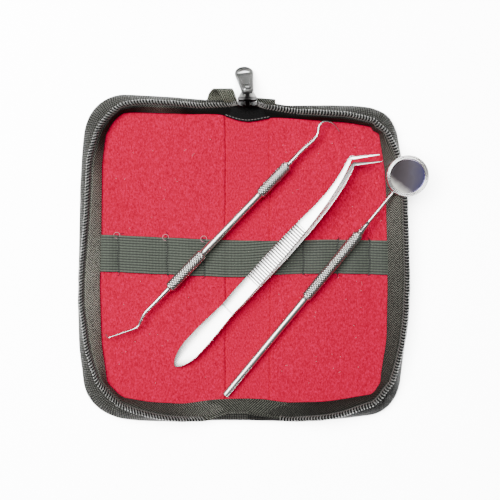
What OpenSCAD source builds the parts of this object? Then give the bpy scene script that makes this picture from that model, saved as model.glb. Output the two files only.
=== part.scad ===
// Zip-around instrument case, opened flat as a shallow tray, with a probe,
// a pair of college tweezers and a mouth mirror lying across it.
// X runs across the two halves, Y along the spine, Z up from the table.
// The origin is on the underside of the spine, at its middle.

/* [Case] */
// Length of the case along its spine
case_h = 184; // [176:1:192]
// Width of one half, from its fold line to its outer edge
half_w = 81; // [79:1:84]
// Width of the spine between the two fold lines
spine_w = 22; // [22:1:24]
// Radius of the outer corners
corner_r = 24; // [20:1:28]

/* [Layers] */
// Thickness of the outer fabric
cover_t = 0.9; // [0.7:0.1:0.9]
// Thickness of the stiffener board
board_t = 1.2; // [1:0.1:1.2]
// Thickness of the foam over the board
foam_t = 1.0; // [0.8:0.1:1]
// Thickness of the lining
lining_t = 0.5; // [0.4:0.1:0.5]

/* [Elastic] */
// Width of the elastic band
elastic_w = 20; // [18:1:22]
// How far a slack loop stands off the lining
loop_slack = 1.2; // [0.6:0.1:1.2]

/* [Tweezers] */
// Angle between the two arms at rest
tweezers_open = 6.0; // [4.4:0.2:6.0]

/* [Hidden] */
$fn = 48;
fold_x = spine_w / 2;
fold_z = 1.6;
fold_gap = 0.15;
edge_x = fold_x + half_w;
half_h = case_h / 2;
seam = 1.3;                        // strip at the edge that the side wall stands on
board_z = cover_t;
foam_z = board_z + board_t;
lining_z = foam_z + foam_t;
floor_z = lining_z + lining_t;
spine_foam_t = 1.7;
spine_lining_z = cover_t + spine_foam_t;
spine_floor_z = spine_lining_z + lining_t;
end_lip_x = 5.8;                   // half the width of the spine cover's turned-up ends
patch_x = 8.8;                     // half the width of the patches at the spine's ends

// Rim: heights are scaled down near the folds so that the halves can stand up
rim_start = 5;                     // distance of the rim's ends from the fold line
ramp_start = 12;
ramp_end = 34;
ramp_low = 0.27;
coil_r = 1.15;
coil_d = 5.2;                      // distance of the zip's centre from the outer edge
coil_z = fold_x + fold_z - 0.35 - coil_r;
tape_edge = 13;                    // distance of the tape's inner edge from the outer edge
arc_steps = 12;

// Elastic: distances of the stitched bars from the spine's middle
tacks_left = [24, 44.5, 71.5];
tacks_right = [31, 50, 67.5];
elastic_t = 0.9;
elastic_end = edge_x - tape_edge - 0.3;
bar_w = 0.8;
bar_t = 0.25;

// Slider and pull tab
slider_c = [0, 86.5, 9];
slider_lean = 50;                  // the slider's nose points up and in by this angle
loop_r = 4.2;
slider_l = 10.4;
slider_w = 10.6;
plate_t = 1.1;
channel = 2.4;                     // room between the slider's plates
pivot_h = 2.1;                     // height of the tab's pivot over the outer plate
tab_l = 18.6;
tab_t = 1.2;
tab_drop = 33;                     // the tab hangs this far below level
tab_swing = 8;                     // and points this far to the left

// Where each instrument lies: [point, heading, pitch, roll]
probe_at = [[-43.1, -17.3, 9.1], 46.1, 0, 16];
tweezers_at = [[-39.9, -60.3, 5.8], 47.3, 4, -18];
mirror_at = [[-12.4, -76.3, 5.8], 50.6, 2.2, 0];

// Probe, lengths along its handle
probe_grip_l = [27, 23];
probe_mid_l = 44.4;
probe_l = probe_grip_l[0] + probe_mid_l + probe_grip_l[1];
grip_r = 2.75;
probe_mid_r = 2.0;
shank_r = 1.5;
shank_seat = 8;                    // depth of a tip's seat in the handle
hook_path = [[0, 0], [10, 0], [19.4, -0.7], [23.5, 0.2], [26.6, 2.4], [29.6, 2.6],
             [32, 0.6], [33.3, -3], [32.8, -8]];
angled_path = [[0, 0], [10, 0], [18.1, 0.1], [22.5, -0.9], [27.3, -2.2], [34.5, 1.3],
               [40.2, 4.4], [41.9, 5.4], [41.2, 7.9]];

// Tweezers
leaf_t = 1.0;
leaf_l = 43.3;
leaf_nose = 16;
leaf_w = 5.65;                     // half widths
waist_w = 4.3;
arm_w = [[43.4, 4.3], [52, 4.6], [84, 4.5], [104.7, 3.6], [116, 2.7], [126.5, 2.0],
         [136, 1.6], [147.6, 1.15], [159.4, 0.4]];
bend_start = 108;
bend_at = [147.6, 5.3];
arm_tip = [159.4, -5.3];
arm_t = 1.15;
tip_t = 0.8;
arm_gap = 0.03;
ridge_from = 64;
ridge_pitch = 1.25;
ridge_count = 32;
ridge_h = 0.25;

// Mouth mirror
mirror_tail_l = 69.3;
mirror_grip_l = 46.9;
mirror_grip_r = 2.7;
mirror_tail_r = 1.95;
mirror_l = mirror_tail_l + mirror_grip_l;
cone_l = 7;
stem_r = 0.9;
stem_l = 23.75;
stem_foot_l = 5;                   // end of the wire, soldered along the cup's back
stud_r = 1.0;
stud_l = 6;
head_x = 155.8;
head_z = 2.5;
head_tilt = 9.8;
cup_r = 11.2;
cup_h = 3.3;
glass_r = 9.35;
glass_t = 1.0;

// ---------------------------------------------------------------- helpers

module left_side() { mirror([1, 0, 0]) children(); }

module place(at) {
  translate(at[0]) rotate([0, 0, at[1]]) rotate([0, -at[2], 0]) rotate([at[3], 0, 0]) children();
}

// Outline of one half, drawn to the right: inset from the edge, fold_in from the fold line
module half_outline(inset, fold_in) {
  r = corner_r - inset;
  x0 = fold_x + fold_in;
  x1 = edge_x - inset;
  y1 = half_h - inset;
  translate([x0, -y1 + r]) square([x1 - x0, 2 * (y1 - r)]);
  translate([x0, -y1]) square([x1 - r - x0, 2 * y1]);
  for (s = [-1, 1]) translate([x1 - r, s * (y1 - r)]) circle(r);
}

module half_layer(z, t, inset, fold_in) {
  translate([0, 0, z]) linear_extrude(t) half_outline(inset, fold_in);
}

module spine_layer(z, t, half_x, half_y) {
  translate([-half_x, -half_y, z]) cube([2 * half_x, 2 * half_y, t]);
}

// Stations along the edge, from the top fold to the bottom fold: [point, inward normal]
corner_c = [edge_x - corner_r, half_h - corner_r];
top_x = [fold_x + rim_start, fold_x + ramp_start, fold_x + (ramp_start + ramp_end) / 2,
         fold_x + ramp_end];
function edge_stations() = concat(
  [for (x = top_x) [[x, half_h], [0, -1]]],
  [for (i = [0:arc_steps]) let (a = 90 - 90 * i / arc_steps)
    [corner_c + corner_r * [cos(a), sin(a)], -[cos(a), sin(a)]]],
  [for (i = [0:arc_steps]) let (a = -90 * i / arc_steps)
    [[corner_c[0], -corner_c[1]] + corner_r * [cos(a), sin(a)], -[cos(a), sin(a)]]],
  [for (i = [len(top_x) - 1:-1:0]) [[top_x[i], -half_h], [0, 1]]]);

function ramp(x) = let (t = (x - fold_x - ramp_start) / (ramp_end - ramp_start))
  ramp_low + (1 - ramp_low) * max(0, min(1, t));
function rim_z(z, x) = z <= floor_z ? z : floor_z + (z - floor_z) * ramp(x);

// Faces of a grid of rings, each with m points, closed by fans at both ends
function ring_faces(n, m) = concat(
  [for (i = [0:n - 2], j = [0:m - 1]) [i * m + j, i * m + (j + 1) % m, (i + 1) * m + j]],
  [for (i = [0:n - 2], j = [0:m - 1])
    [i * m + (j + 1) % m, (i + 1) * m + (j + 1) % m, (i + 1) * m + j]],
  [[for (j = [m - 1:-1:0]) j]],
  [[for (j = [0:m - 1]) (n - 1) * m + j]]);

// Sweeps a section of [distance from the edge, height] points round one half's edge
module rim_sweep(section) {
  st = edge_stations();
  pts = [for (s = st) for (q = section)
    let (p = s[0] + q[0] * s[1]) [p[0], p[1], rim_z(q[1], s[0][0])]];
  polyhedron(pts, ring_faces(len(st), len(section)));
}

// A point on a smooth curve through p, at u from 0 to len(p) - 1
function curve_at(p, u) = let (
  n = len(p) - 1, i = min(n - 1, floor(u)), t = u - i,
  a = p[max(0, i - 1)], b = p[i], c = p[i + 1], d = p[min(n, i + 2)])
  0.5 * (2 * b + (c - a) * t + (2 * a - 5 * b + 4 * c - d) * t * t
         + (3 * b - a - 3 * c + d) * t * t * t);

// A round wire along a flat path, from radius r0 to r1
module tapered_wire(path, r0, r1, steps, sides) {
  n = len(path) - 1;
  pts = [for (k = [0:steps]) curve_at(path, n * k / steps)];
  rings = [for (k = [0:steps]) let (
      t = pts[min(steps, k + 1)] - pts[max(0, k - 1)],
      nrm = [-t[1], t[0]] / norm(t),
      r = r0 + (r1 - r0) * pow(k / steps, 0.7))
    for (j = [0:sides - 1]) let (a = -360 * j / sides)
      [pts[k][0] + r * cos(a) * nrm[0], pts[k][1] + r * cos(a) * nrm[1], r * sin(a)]];
  polyhedron(rings, ring_faces(steps + 1, sides));
}

// A turned piece along +X from a profile of [length, radius] points
module turned(profile) {
  rotate([0, 90, 0]) rotate_extrude()
    polygon(concat([[0, profile[0][0]]], [for (q = profile) [q[1], q[0]]],
                   [[0, profile[len(profile) - 1][0]]]));
}

// ---------------------------------------------------------------- covers, boards, lining

module half_cover() { half_layer(0, cover_t, seam, fold_gap); }

module side_wall() {
  rim_sweep([[0, 0], [0.1, 4], [1.2, 8], [3.3, 10.8], [3.8, 10], [2.3, 7.4], [1.25, 3.9], [1.2, 0]]);
}

module half_board() {
  half_layer(board_z, board_t, 4, foam_z - fold_z + 0.8);
}

module half_foam() {
  half_layer(foam_z, foam_t, 4, lining_z - fold_z + 0.4);
}

module half_lining() {
  half_layer(lining_z, lining_t, 5, floor_z - fold_z + 0.3);
}

module spine_cover() {
  color([0.2, 0.2, 0.19]) {
    spine_layer(0, cover_t, fold_x - fold_gap, half_h - seam);
    for (s = [-1, 1])
      translate([-end_lip_x, s * (half_h - seam / 2) - seam / 2 + s * 0.05, 0])
        cube([2 * end_lip_x, seam - 0.1, 3]);
  }
}
module left_cover() { color([0.2, 0.2, 0.19]) left_side() half_cover(); }
module right_cover() { color([0.2, 0.2, 0.19]) half_cover(); }
module left_side_wall() { color([0.25, 0.25, 0.24]) left_side() side_wall(); }
module right_side_wall() { color([0.25, 0.25, 0.24]) side_wall(); }
module left_board() { color([0.7, 0.65, 0.5]) left_side() half_board(); }
module right_board() { color([0.7, 0.65, 0.5]) half_board(); }
module left_foam() { color([0.85, 0.85, 0.8]) left_side() half_foam(); }
module right_foam() { color([0.85, 0.85, 0.8]) half_foam(); }
module spine_foam() {
  color([0.85, 0.85, 0.8]) spine_layer(cover_t, spine_foam_t, fold_x - 1.5, half_h - 5);
}
module left_lining() { color([0.85, 0.06, 0.16]) left_side() half_lining(); }
module right_lining() { color([0.85, 0.06, 0.16]) half_lining(); }
module spine_lining() {
  color([0.85, 0.06, 0.16]) spine_layer(spine_lining_z, lining_t, fold_x - 2, half_h - 16);
}

// ---------------------------------------------------------------- zip

module zip_tape() {
  rim_sweep([[6.6, 11], [9.4, 8.2], [11.4, 5.4], [tape_edge, 4.5], [tape_edge, 3.75],
             [10.9, 4.5], [8.7, 7.5], [6.4, 10.1]]);
}

module zip_coil() {
  rim_sweep([for (i = [0:7]) let (a = 22.5 + 45 * i)
    [coil_d + coil_r * cos(a), coil_z - coil_r * sin(a)]]);
}

module left_zip_tape() { color([0.22, 0.22, 0.21]) left_side() zip_tape(); }
module right_zip_tape() { color([0.22, 0.22, 0.21]) zip_tape(); }
module left_zip_coil() { color([0.12, 0.12, 0.12]) left_side() zip_coil(); }
module right_zip_coil() { color([0.12, 0.12, 0.12]) zip_coil(); }

// The last of each half's tape and coil, sewn to the spine either side of the slider
module spine_zip_ends() {
  color([0.15, 0.15, 0.15]) for (s = [-1, 1]) translate([s * 7.2 - 1.3, 0, 0]) {
    translate([0, 84.6, 3.65]) cube([2.6, 2.2, 1.5]);
    translate([0, 86.9, 3.65]) cube([2.6, 3.6, 0.9]);
  }
}

module zip_bottom_stop() {
  color([0.5, 0.5, 0.5]) translate([-2, 90.9, 3.05]) cube([4, 1.3, 2]);
}

// Metal stop that clamps the far end of one half's coil, next to the bottom fold
module zip_end_stop() {
  translate([fold_x + rim_start - 1.7, -half_h + coil_d - 1.3, floor_z + 0.1]) cube([1.6, 2.6, 1.5]);
}
module left_zip_end_stop() { color([0.5, 0.5, 0.5]) left_side() zip_end_stop(); }
module right_zip_end_stop() { color([0.5, 0.5, 0.5]) zip_end_stop(); }

// Fabric patches that finish the rim where it crosses the spine
module top_zip_patch() {
  color([0.1, 0.1, 0.1]) {
    translate([-patch_x, half_h - 15.9, spine_lining_z]) cube([2 * patch_x, 14, lining_t]);
    translate([-patch_x, half_h - 18, spine_floor_z]) cube([2 * patch_x, 5, 0.5]);
  }
}
module bottom_zip_patch() {
  color([0.2, 0.2, 0.2]) {
    translate([-patch_x, -half_h + 1.9, spine_lining_z]) cube([2 * patch_x, 14, lining_t]);
    translate([-patch_x + 1.4, -half_h + 1.9, spine_floor_z]) cube([2 * patch_x - 2.8, 14.6, 1.2]);
  }
}

// Webbing folded into a loop behind the slider, to hold while the zip is pulled
module grip_loop() {
  wide = 12.5;
  color([0.25, 0.25, 0.24]) {
    translate([-20.5, half_h + loop_r + 0.3, loop_r + 0.4]) rotate([0, 90, 0]) difference() {
      cylinder(h = wide, r = loop_r);
      translate([0, 0, -1]) cylinder(h = wide + 2, r = loop_r - 0.9);
    }
    translate([-12.9, half_h - 0.9, 0.05]) cube([7, loop_r + 0.8, 0.8]);
  }
}

// Folded end of the zip's tape, on the other side of the slider
module zip_tape_tail() {
  color([0.15, 0.15, 0.15]) translate([4.4, half_h + 0.15, 0.5]) cube([9.6, 2.3, 2.3]);
}

module slider_frame() {
  translate(slider_c) rotate([180 - slider_lean, 0, 0]) rotate([0, 180, 0]) children();
}

// One plate of the slider: wide shoulders at the nose, narrow at the tail
module slider_plate() {
  linear_extrude(plate_t) {
    r = 2.2;
    for (s = [-1, 1]) translate([s * (slider_w / 2 - r), slider_l / 2 - r]) circle(r);
    translate([-slider_w / 2 + r, slider_l / 2 - 2 * r]) square([slider_w - 2 * r, 2 * r - 0.6]);
    polygon([[-slider_w / 2, slider_l / 2 - r], [-3.1, -slider_l / 2], [3.1, -slider_l / 2],
             [slider_w / 2, slider_l / 2 - r]]);
  }
}

module slider_body() {
  color([0.35, 0.35, 0.36]) slider_frame() {
    translate([0, 0, channel / 2]) slider_plate();
    translate([0, 0, -channel / 2 - plate_t]) slider_plate();
    // bridge between the plates, in the nose
    translate([0, 0, -channel / 2]) linear_extrude(channel)
      polygon([[-1.1, 5], [1.1, 5], [1.4, 3.4], [0, -0.6], [-1.4, 3.4]]);
    // side flanges
    for (s = [-1, 1]) translate([s * 3 - 0.4, -slider_l / 2 + 0.2, -channel / 2 - 0.01])
      cube([0.8, 3.4, 0.7]);
  }
}

// Arch over the outer plate that holds the pull tab
module slider_bail() {
  foot = channel / 2 + plate_t + 0.01;
  color([0.35, 0.35, 0.36]) slider_frame() translate([1.1, 0, foot]) rotate([0, -90, 0])
    linear_extrude(2.2) difference() {
      union() {
        translate([pivot_h, -1]) circle(2.5);
        translate([0.02, -3.5]) square([pivot_h, 5]);
      }
      translate([pivot_h, -1]) circle(1.35);
      translate([0.8, -2.35]) square([pivot_h - 0.8, 2.7]);
      translate([-2, -4]) square([2.02, 6]);
    }
}

pivot_p = slider_c + (channel / 2 + plate_t + pivot_h) * [0, sin(slider_lean), cos(slider_lean)]
          + [0, cos(slider_lean), -sin(slider_lean)];

module pull_tab() {
  ring_w = 2.4;
  end_w = 5.2;
  color([0.45, 0.45, 0.45]) translate(pivot_p) rotate([-tab_drop, 0, 0]) rotate([0, 0, tab_swing]) {
    translate([0, 0, -tab_t / 2]) linear_extrude(tab_t) difference() {
      union() {
        polygon([[-ring_w, 0], [-ring_w, 5.4], [-end_w, tab_l - end_w], [end_w, tab_l - end_w],
                 [ring_w, 5.4], [ring_w, 0]]);
        translate([0, tab_l - end_w]) circle(end_w);
      }
      translate([-1.5, -1]) square([3, 4.9]);
      translate([-3.2, tab_l - 4.6]) square([6.4, 1.2]);
      intersection() {
        translate([0, tab_l - end_w]) circle(3.7);
        translate([-4, tab_l - 4.6]) square([8, 4]);
      }
    }
    rotate([0, 90, 0]) translate([0, 0, -ring_w]) cylinder(h = 2 * ring_w, r = tab_t / 2);
  }
}

// ---------------------------------------------------------------- elastic

// Height of the band over the lining, at x, between the stitched bars in marks
function slack(x, marks) = let (
  i = [for (k = [0:len(marks) - 2]) if (x >= marks[k] && x <= marks[k + 1]) k][0],
  t = (x - marks[i]) / (marks[i + 1] - marks[i]))
  loop_slack * pow(sin(180 * t), 2);

elastic_in = fold_x + floor_z + elastic_t - fold_z + 0.3;

module half_elastic(tacks) {
  marks = concat([elastic_in], tacks, [elastic_end]);
  steps = 36;
  xs = [for (k = [0:steps]) elastic_in + (elastic_end - elastic_in) * k / steps];
  translate([0, elastic_w / 2, 0]) rotate([90, 0, 0]) linear_extrude(elastic_w) polygon(concat(
    [for (x = xs) [x, floor_z + slack(x, marks)]],
    [for (k = [steps:-1:0]) [xs[k], floor_z + elastic_t + slack(xs[k], marks)]]));
}

module half_bar_tacks(tacks) {
  for (x = tacks)
    translate([x - bar_w / 2, -elastic_w / 2 + 0.4, floor_z + elastic_t + 0.12])
      cube([bar_w, elastic_w - 0.8, bar_t]);
}

module left_elastic() { color([0.17, 0.2, 0.18]) left_side() half_elastic(tacks_left); }
module right_elastic() { color([0.17, 0.2, 0.18]) half_elastic(tacks_right); }
module spine_elastic() {
  color([0.17, 0.2, 0.18]) spine_layer(spine_floor_z, elastic_t, fold_x - 2.7, elastic_w / 2);
}
module left_bar_tacks() { color([0.08, 0.08, 0.08]) left_side() half_bar_tacks(tacks_left); }
module right_bar_tacks() { color([0.08, 0.08, 0.08]) half_bar_tacks(tacks_right); }

// ---------------------------------------------------------------- probe

module probe_handle() {
  a = probe_grip_l[0];
  b = a + probe_mid_l;
  color([0.75, 0.75, 0.76]) place(probe_at) difference() {
    turned([[0, 1.9], [0.9, grip_r], [a - 0.6, grip_r], [a, probe_mid_r], [b, probe_mid_r],
            [b + 0.6, grip_r], [probe_l - 0.9, grip_r], [probe_l, 1.9]]);
    for (x = [-1, probe_l - shank_seat])
      translate([x, 0, 0]) rotate([0, 90, 0]) cylinder(h = shank_seat + 1, r = 1.1);
  }
}

// A working tip with its cone-shaped shank and the pin that seats in the handle
module probe_tip(path) {
  rotate([0, 90, 0]) translate([0, 0, -shank_seat + 0.2]) cylinder(h = shank_seat - 0.2, r = 1.08);
  tapered_wire(path, shank_r, 0.28, 40, 12);
}
module probe_hook_tip() {
  color([0.75, 0.75, 0.76]) place(probe_at) translate([probe_l + 0.02, 0, 0]) probe_tip(hook_path);
}
module probe_angled_tip() {
  color([0.75, 0.75, 0.76]) place(probe_at) translate([-0.02, 0, 0]) mirror([1, 0, 0])
    probe_tip(angled_path);
}

// ---------------------------------------------------------------- tweezers

function leaf_half_width(x) = x < leaf_nose
  ? leaf_w * sin(90 * pow(x / leaf_nose, 0.62))
  : waist_w + (leaf_w - waist_w) * pow(cos(90 * (x - leaf_nose) / (leaf_l - leaf_nose)), 1.2);

module leaf() {
  steps = 24;
  xs = [for (k = [0:steps]) leaf_l * pow(k / steps, 1.6)];
  linear_extrude(leaf_t - 0.02) polygon(concat(
    [for (x = xs) [x, leaf_half_width(x)]],
    [for (k = [steps:-1:1]) [xs[k], -leaf_half_width(xs[k])]]));
}

function arm_y(x) = x < bend_start ? 0
  : bend_at[1] * pow((x - bend_start) / (bend_at[0] - bend_start), 2.6);

// Flat outline of one arm, from the root to the bent tip
module arm_outline() {
  xs = [leaf_l + 0.1, 52, 62, 73, 84, 95, bend_start, 114, 120, 126, 132, 137, 142, 145.2];
  line = concat([for (x = xs) [x, arm_y(x)]], [bend_at, bend_at + [1.3, 0.1],
    bend_at + 0.5 * (arm_tip - bend_at), arm_tip]);
  n = len(line) - 1;
  dirs = [for (i = [0:n]) let (d = line[min(n, i + 1)] - line[max(0, i - 1)]) d / norm(d)];
  sides = [for (i = [0:n]) lookup(line[i][0], arm_w) * [-dirs[i][1], dirs[i][0]]];
  polygon(concat([for (i = [0:n]) line[i] + sides[i]],
                 [for (i = [n:-1:0]) line[i] - sides[i]]));
}

// Side profile of one arm, with the finger ridges across its outer face
module arm_profile() {
  top = arm_t - ridge_h;
  ridges = [for (k = [0:ridge_count - 1]) for (q = [[0, 0], [0.35, ridge_h], [0.75, ridge_h]])
    [ridge_from + k * ridge_pitch + q[0], top + q[1]]];
  polygon(concat([[leaf_l, arm_gap], [leaf_l, leaf_t], [leaf_l + 4, arm_t], [ridge_from - 1, arm_t]],
                 ridges, [[ridge_from + ridge_count * ridge_pitch + 0.6, arm_t], [130, arm_t],
                 [165, tip_t], [165, arm_gap]]));
}

module arm() {
  translate([leaf_l, 0, 0]) rotate([0, -tweezers_open / 2, 0]) translate([-leaf_l, 0, 0])
    intersection() {
      linear_extrude(3) arm_outline();
      translate([0, 15, 0]) rotate([90, 0, 0]) linear_extrude(30) arm_profile();
    }
}

module tweezers_upper_leaf() {
  color([0.85, 0.85, 0.86]) place(tweezers_at) translate([0, 0, 0.01]) leaf();
}
module tweezers_lower_leaf() {
  color([0.85, 0.85, 0.86]) place(tweezers_at) mirror([0, 0, 1]) translate([0, 0, 0.01]) leaf();
}
module tweezers_upper_arm() { color([0.85, 0.85, 0.86]) place(tweezers_at) arm(); }
module tweezers_lower_arm() {
  color([0.85, 0.85, 0.86]) place(tweezers_at) mirror([0, 0, 1]) arm();
}

// ---------------------------------------------------------------- mouth mirror

module mirror_handle() {
  a = mirror_tail_l;
  color([0.75, 0.75, 0.76]) place(mirror_at) difference() {
    turned([[0, mirror_tail_r - 0.3], [0.3, mirror_tail_r], [a, mirror_tail_r], [a + 0.8, mirror_grip_r],
            [mirror_l - 1.2, mirror_grip_r], [mirror_l, 1.8]]);
    translate([mirror_l - stud_l - 0.5, 0, 0]) rotate([0, 90, 0]) cylinder(h = stud_l + 1, r = stud_r + 0.05);
  }
}

// Stud, cone and wire of the screw-in head; the wire turns up to follow the cup's back
module mirror_stem() {
  cone_x = mirror_l + 0.05;
  crank_x = cone_x + cone_l + stem_l;
  color([0.75, 0.75, 0.76]) place(mirror_at) {
    translate([cone_x - stud_l, 0, 0]) rotate([0, 90, 0]) cylinder(h = stud_l + 0.1, r = stud_r);
    translate([cone_x, 0, 0]) turned([[0, 1.8], [cone_l, 1.15], [cone_l, stem_r], [cone_l + stem_l, stem_r]]);
    translate([crank_x, 0, 0]) sphere(stem_r + 0.04);
    translate([crank_x, 0, 0]) rotate([0, 90 - head_tilt, 0]) cylinder(h = stem_foot_l, r = stem_r);
  }
}

module head_frame() {
  place(mirror_at) translate([head_x, 0, head_z]) rotate([0, -head_tilt, 0]) children();
}

module mirror_cup() {
  color([0.8, 0.8, 0.8]) head_frame() rotate_extrude()
    polygon([[0, 0], [8.6, 0], [10.2, 0.35], [10.9, 1.1], [cup_r, 2], [cup_r, 2.6], [10.9, 3.1],
             [10.3, cup_h], [9.7, 3.2], [9.1, 2.75], [9.05, 2.25], [glass_r + 0.1, 2.2],
             [glass_r + 0.1, 1.1], [0, 1.1]]);
}

module mirror_glass() {
  color([0.5, 0.5, 0.6]) head_frame() translate([0, 0, 1.15]) cylinder(h = glass_t, r = glass_r);
}

// ---------------------------------------------------------------- nodes

spine_cover();
left_cover();
right_cover();
left_side_wall();
right_side_wall();
left_board();
right_board();
left_foam();
right_foam();
spine_foam();
left_lining();
right_lining();
spine_lining();
left_zip_tape();
right_zip_tape();
left_zip_coil();
right_zip_coil();
spine_zip_ends();
zip_bottom_stop();
left_zip_end_stop();
right_zip_end_stop();
top_zip_patch();
bottom_zip_patch();
grip_loop();
zip_tape_tail();
slider_body();
slider_bail();
pull_tab();
left_elastic();
right_elastic();
spine_elastic();
left_bar_tacks();
right_bar_tacks();
probe_handle();
probe_hook_tip();
probe_angled_tip();
tweezers_upper_leaf();
tweezers_lower_leaf();
tweezers_upper_arm();
tweezers_lower_arm();
mirror_handle();
mirror_stem();
mirror_cup();
mirror_glass();
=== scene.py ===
"""Looks of the opened instrument case with its probe, tweezers and mouth mirror.

Lengths are in millimetres, in the CAD frame, and become metres when a mesh is made.
Along the rim, s runs from the spine's top end round one half to its bottom end, and an
offset is a distance inward from the pattern's edge.
"""

import math
import random

import bmesh
import bpy
import numpy as np
from mathutils import Matrix, Vector, noise
from mathutils.geometry import tessellate_polygon

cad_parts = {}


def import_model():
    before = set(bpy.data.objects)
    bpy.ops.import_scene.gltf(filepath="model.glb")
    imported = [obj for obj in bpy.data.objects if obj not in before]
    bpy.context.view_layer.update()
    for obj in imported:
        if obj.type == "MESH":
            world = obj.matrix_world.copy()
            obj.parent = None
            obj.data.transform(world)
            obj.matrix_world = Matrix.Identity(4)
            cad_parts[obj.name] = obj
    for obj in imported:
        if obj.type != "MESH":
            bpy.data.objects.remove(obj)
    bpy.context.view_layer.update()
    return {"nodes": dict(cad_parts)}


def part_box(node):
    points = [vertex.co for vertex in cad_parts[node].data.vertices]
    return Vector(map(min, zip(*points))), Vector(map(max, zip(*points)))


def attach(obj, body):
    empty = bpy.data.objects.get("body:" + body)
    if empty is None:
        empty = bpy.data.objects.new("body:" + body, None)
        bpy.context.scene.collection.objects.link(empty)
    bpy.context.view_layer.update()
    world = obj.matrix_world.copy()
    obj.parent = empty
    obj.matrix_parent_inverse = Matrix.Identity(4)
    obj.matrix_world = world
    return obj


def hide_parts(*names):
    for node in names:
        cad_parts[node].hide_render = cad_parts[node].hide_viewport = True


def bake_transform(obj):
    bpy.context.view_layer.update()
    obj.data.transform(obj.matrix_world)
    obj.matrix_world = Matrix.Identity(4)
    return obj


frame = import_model()
rng = random.Random(11)

MM = 0.001
SIDES = {"left": -1, "right": 1}

# ---------------------------------------------------------------- sizes

EDGE = 92.0                 # half the case's length, and half its width
CORNER_R = 24.0
STRAIGHT = EDGE - CORNER_R
ARC = CORNER_R * math.pi / 2
RIM_L = 4 * STRAIGHT + 2 * ARC
FLOOR_Z = 3.6               # top of the lining on a half
SPINE_Z = 3.1               # top of the lining on the spine
FOLD_X = 11.0
CREASE_X = 12.2
RAMP_LOW, RAMP_START, RAMP_END = 0.27, 23.0, 45.0
COIL_R = 1.15
TOOTH_PITCH = 1.62
ELASTIC_W = {"left": 20.4, "right": 18.8}
# The elastic band lies a little askew: (x, y) along its middle
BAND_MIDDLE = [(-82, 2.2), (-42, 0.4), (-20, -0.5), (-4, -1.1), (22, -0.2), (47, 0.4), (78, -0.5)]
TACKS = {"left": [24, 44.5, 71.5], "right": [31, 50, 67.5]}
# The slider's nose is painted black as shade below this height.
NOSE_SHADE_Y = 87.6               # the slider is black below this
# How far before the rim's bottom end the coil stops
COIL_END = {"left": 24.0, "right": 17.8}
COIL_STEP = 0.12            # between points along the coil's wire
WALL_FOOT = 3.6             # where the wall starts to lean in
WALL_DROP = 4.5             # how far the wall's top sinks past the end of the coil
PATCH_S = 12                # how far the patch under the slider reaches, along s
BAND_S = 22                 # the same for the band at the bottom
TAB_HINGE = (0, 90.513, 11.062)
TAB_LEAN, TAB_SWING = 33, 8         # degrees: down over the end, and to one side
COIL_Z = 11.0               # height of the coil's middle where the wall stands straight
TAPE_EDGE_Z = 4.75          # height of the tape's cut edge
SEAM_DROP = 0.62            # depth of the tape's seam under the coil's middle
ELASTIC_REACH = {"left": 84.5, "right": 80.5}
RIB_PITCH = 1.5             # of the elastic
TACK_PITCH = 0.62           # of the zigzag that sews the elastic down
LINT_COUNT = 45

# How far the soft rim has moved in from the pattern's edge: (s, offset)
OUTER = {
    "left": [(0, 6), (24, 5), (42, 3.4), (66, 2.1), (100, 2.1), (114, 0.6), (134, -0.6), (200, -1.8),
             (224, -1.2), (240, 1), (262, 2.9), (272, 3.2), (288, 1.4), (312, 0.9), (330, 1.8),
             (348, 1.7)],
    "right": [(0, 6), (14, 6.6), (20, 8.2), (46, 8), (62, 8.4), (74, 10.2), (100, 10.1), (116, 7.4),
              (142, 3.4), (190, 2), (206, 2.7), (222, 5), (245, 7.9), (258, 7.4), (274, 5.3), (292, 2.9),
              (312, 1.4), (330, 1.2), (348, 1.7)]}
COIL = {
    "left": [(0, 7.2), (24, 8.6), (58, 7.3), (66, 8.2), (74, 10.6), (86, 12), (100, 11.1), (110, 8.4),
             (120, 5.6), (150, 4.3), (182, 1.7), (198, 1.3), (212, 3), (224, 4.6), (236, 8), (248, 12.3),
             (260, 13.4), (274, 12.3), (286, 8), (298, 5), (312, 3.2), (324, 2.3), (330, 4.6), (337, 7),
             (348, 6.6)],
    "right": [(0, 7.2), (24, 11.4), (45, 13.6), (54, 13.8), (66, 16.7), (82, 18.9), (96, 18.1),
              (104, 16.9), (112, 12.6), (119, 9.6), (143, 6), (185, 4.9), (206, 5.7), (222, 7.8),
              (235, 11), (246, 14.6), (258, 15.4), (272, 13.8), (284, 10.4), (296, 6.2), (308, 4.1),
              (324, 2.1), (334, 4), (348, 6.4)]}
TAPE = {
    "left": [(0, 16.7), (4, 16.4), (8, 15.2), (12, 13.4), (16, 12.4), (30, 12.5), (66, 11.4), (74, 12.8),
             (86, 14.5), (99, 14.6), (110, 12.6), (122, 11), (160, 10.7), (190, 9.8), (222, 10.8),
             (236, 13), (254, 15.2), (270, 15.2), (281, 13.6), (292, 11.5), (312, 10.4), (329, 12.9),
             (348, 13.4)],
    "right": [(0, 16.7), (4, 16.4), (8, 15.5), (12, 14.5), (16, 14.3), (46, 16.5), (56, 17.3), (66, 19),
              (74, 20.4), (98, 20.2), (112, 17.8), (124, 15.9), (136, 15), (190, 14.1), (220, 14.7),
              (239, 18), (262, 18.3), (278, 15.9), (292, 13.5), (304, 11.6), (326, 11.1), (338, 13),
              (348, 13.4)]}

# ---------------------------------------------------------------- mesh helpers


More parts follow.
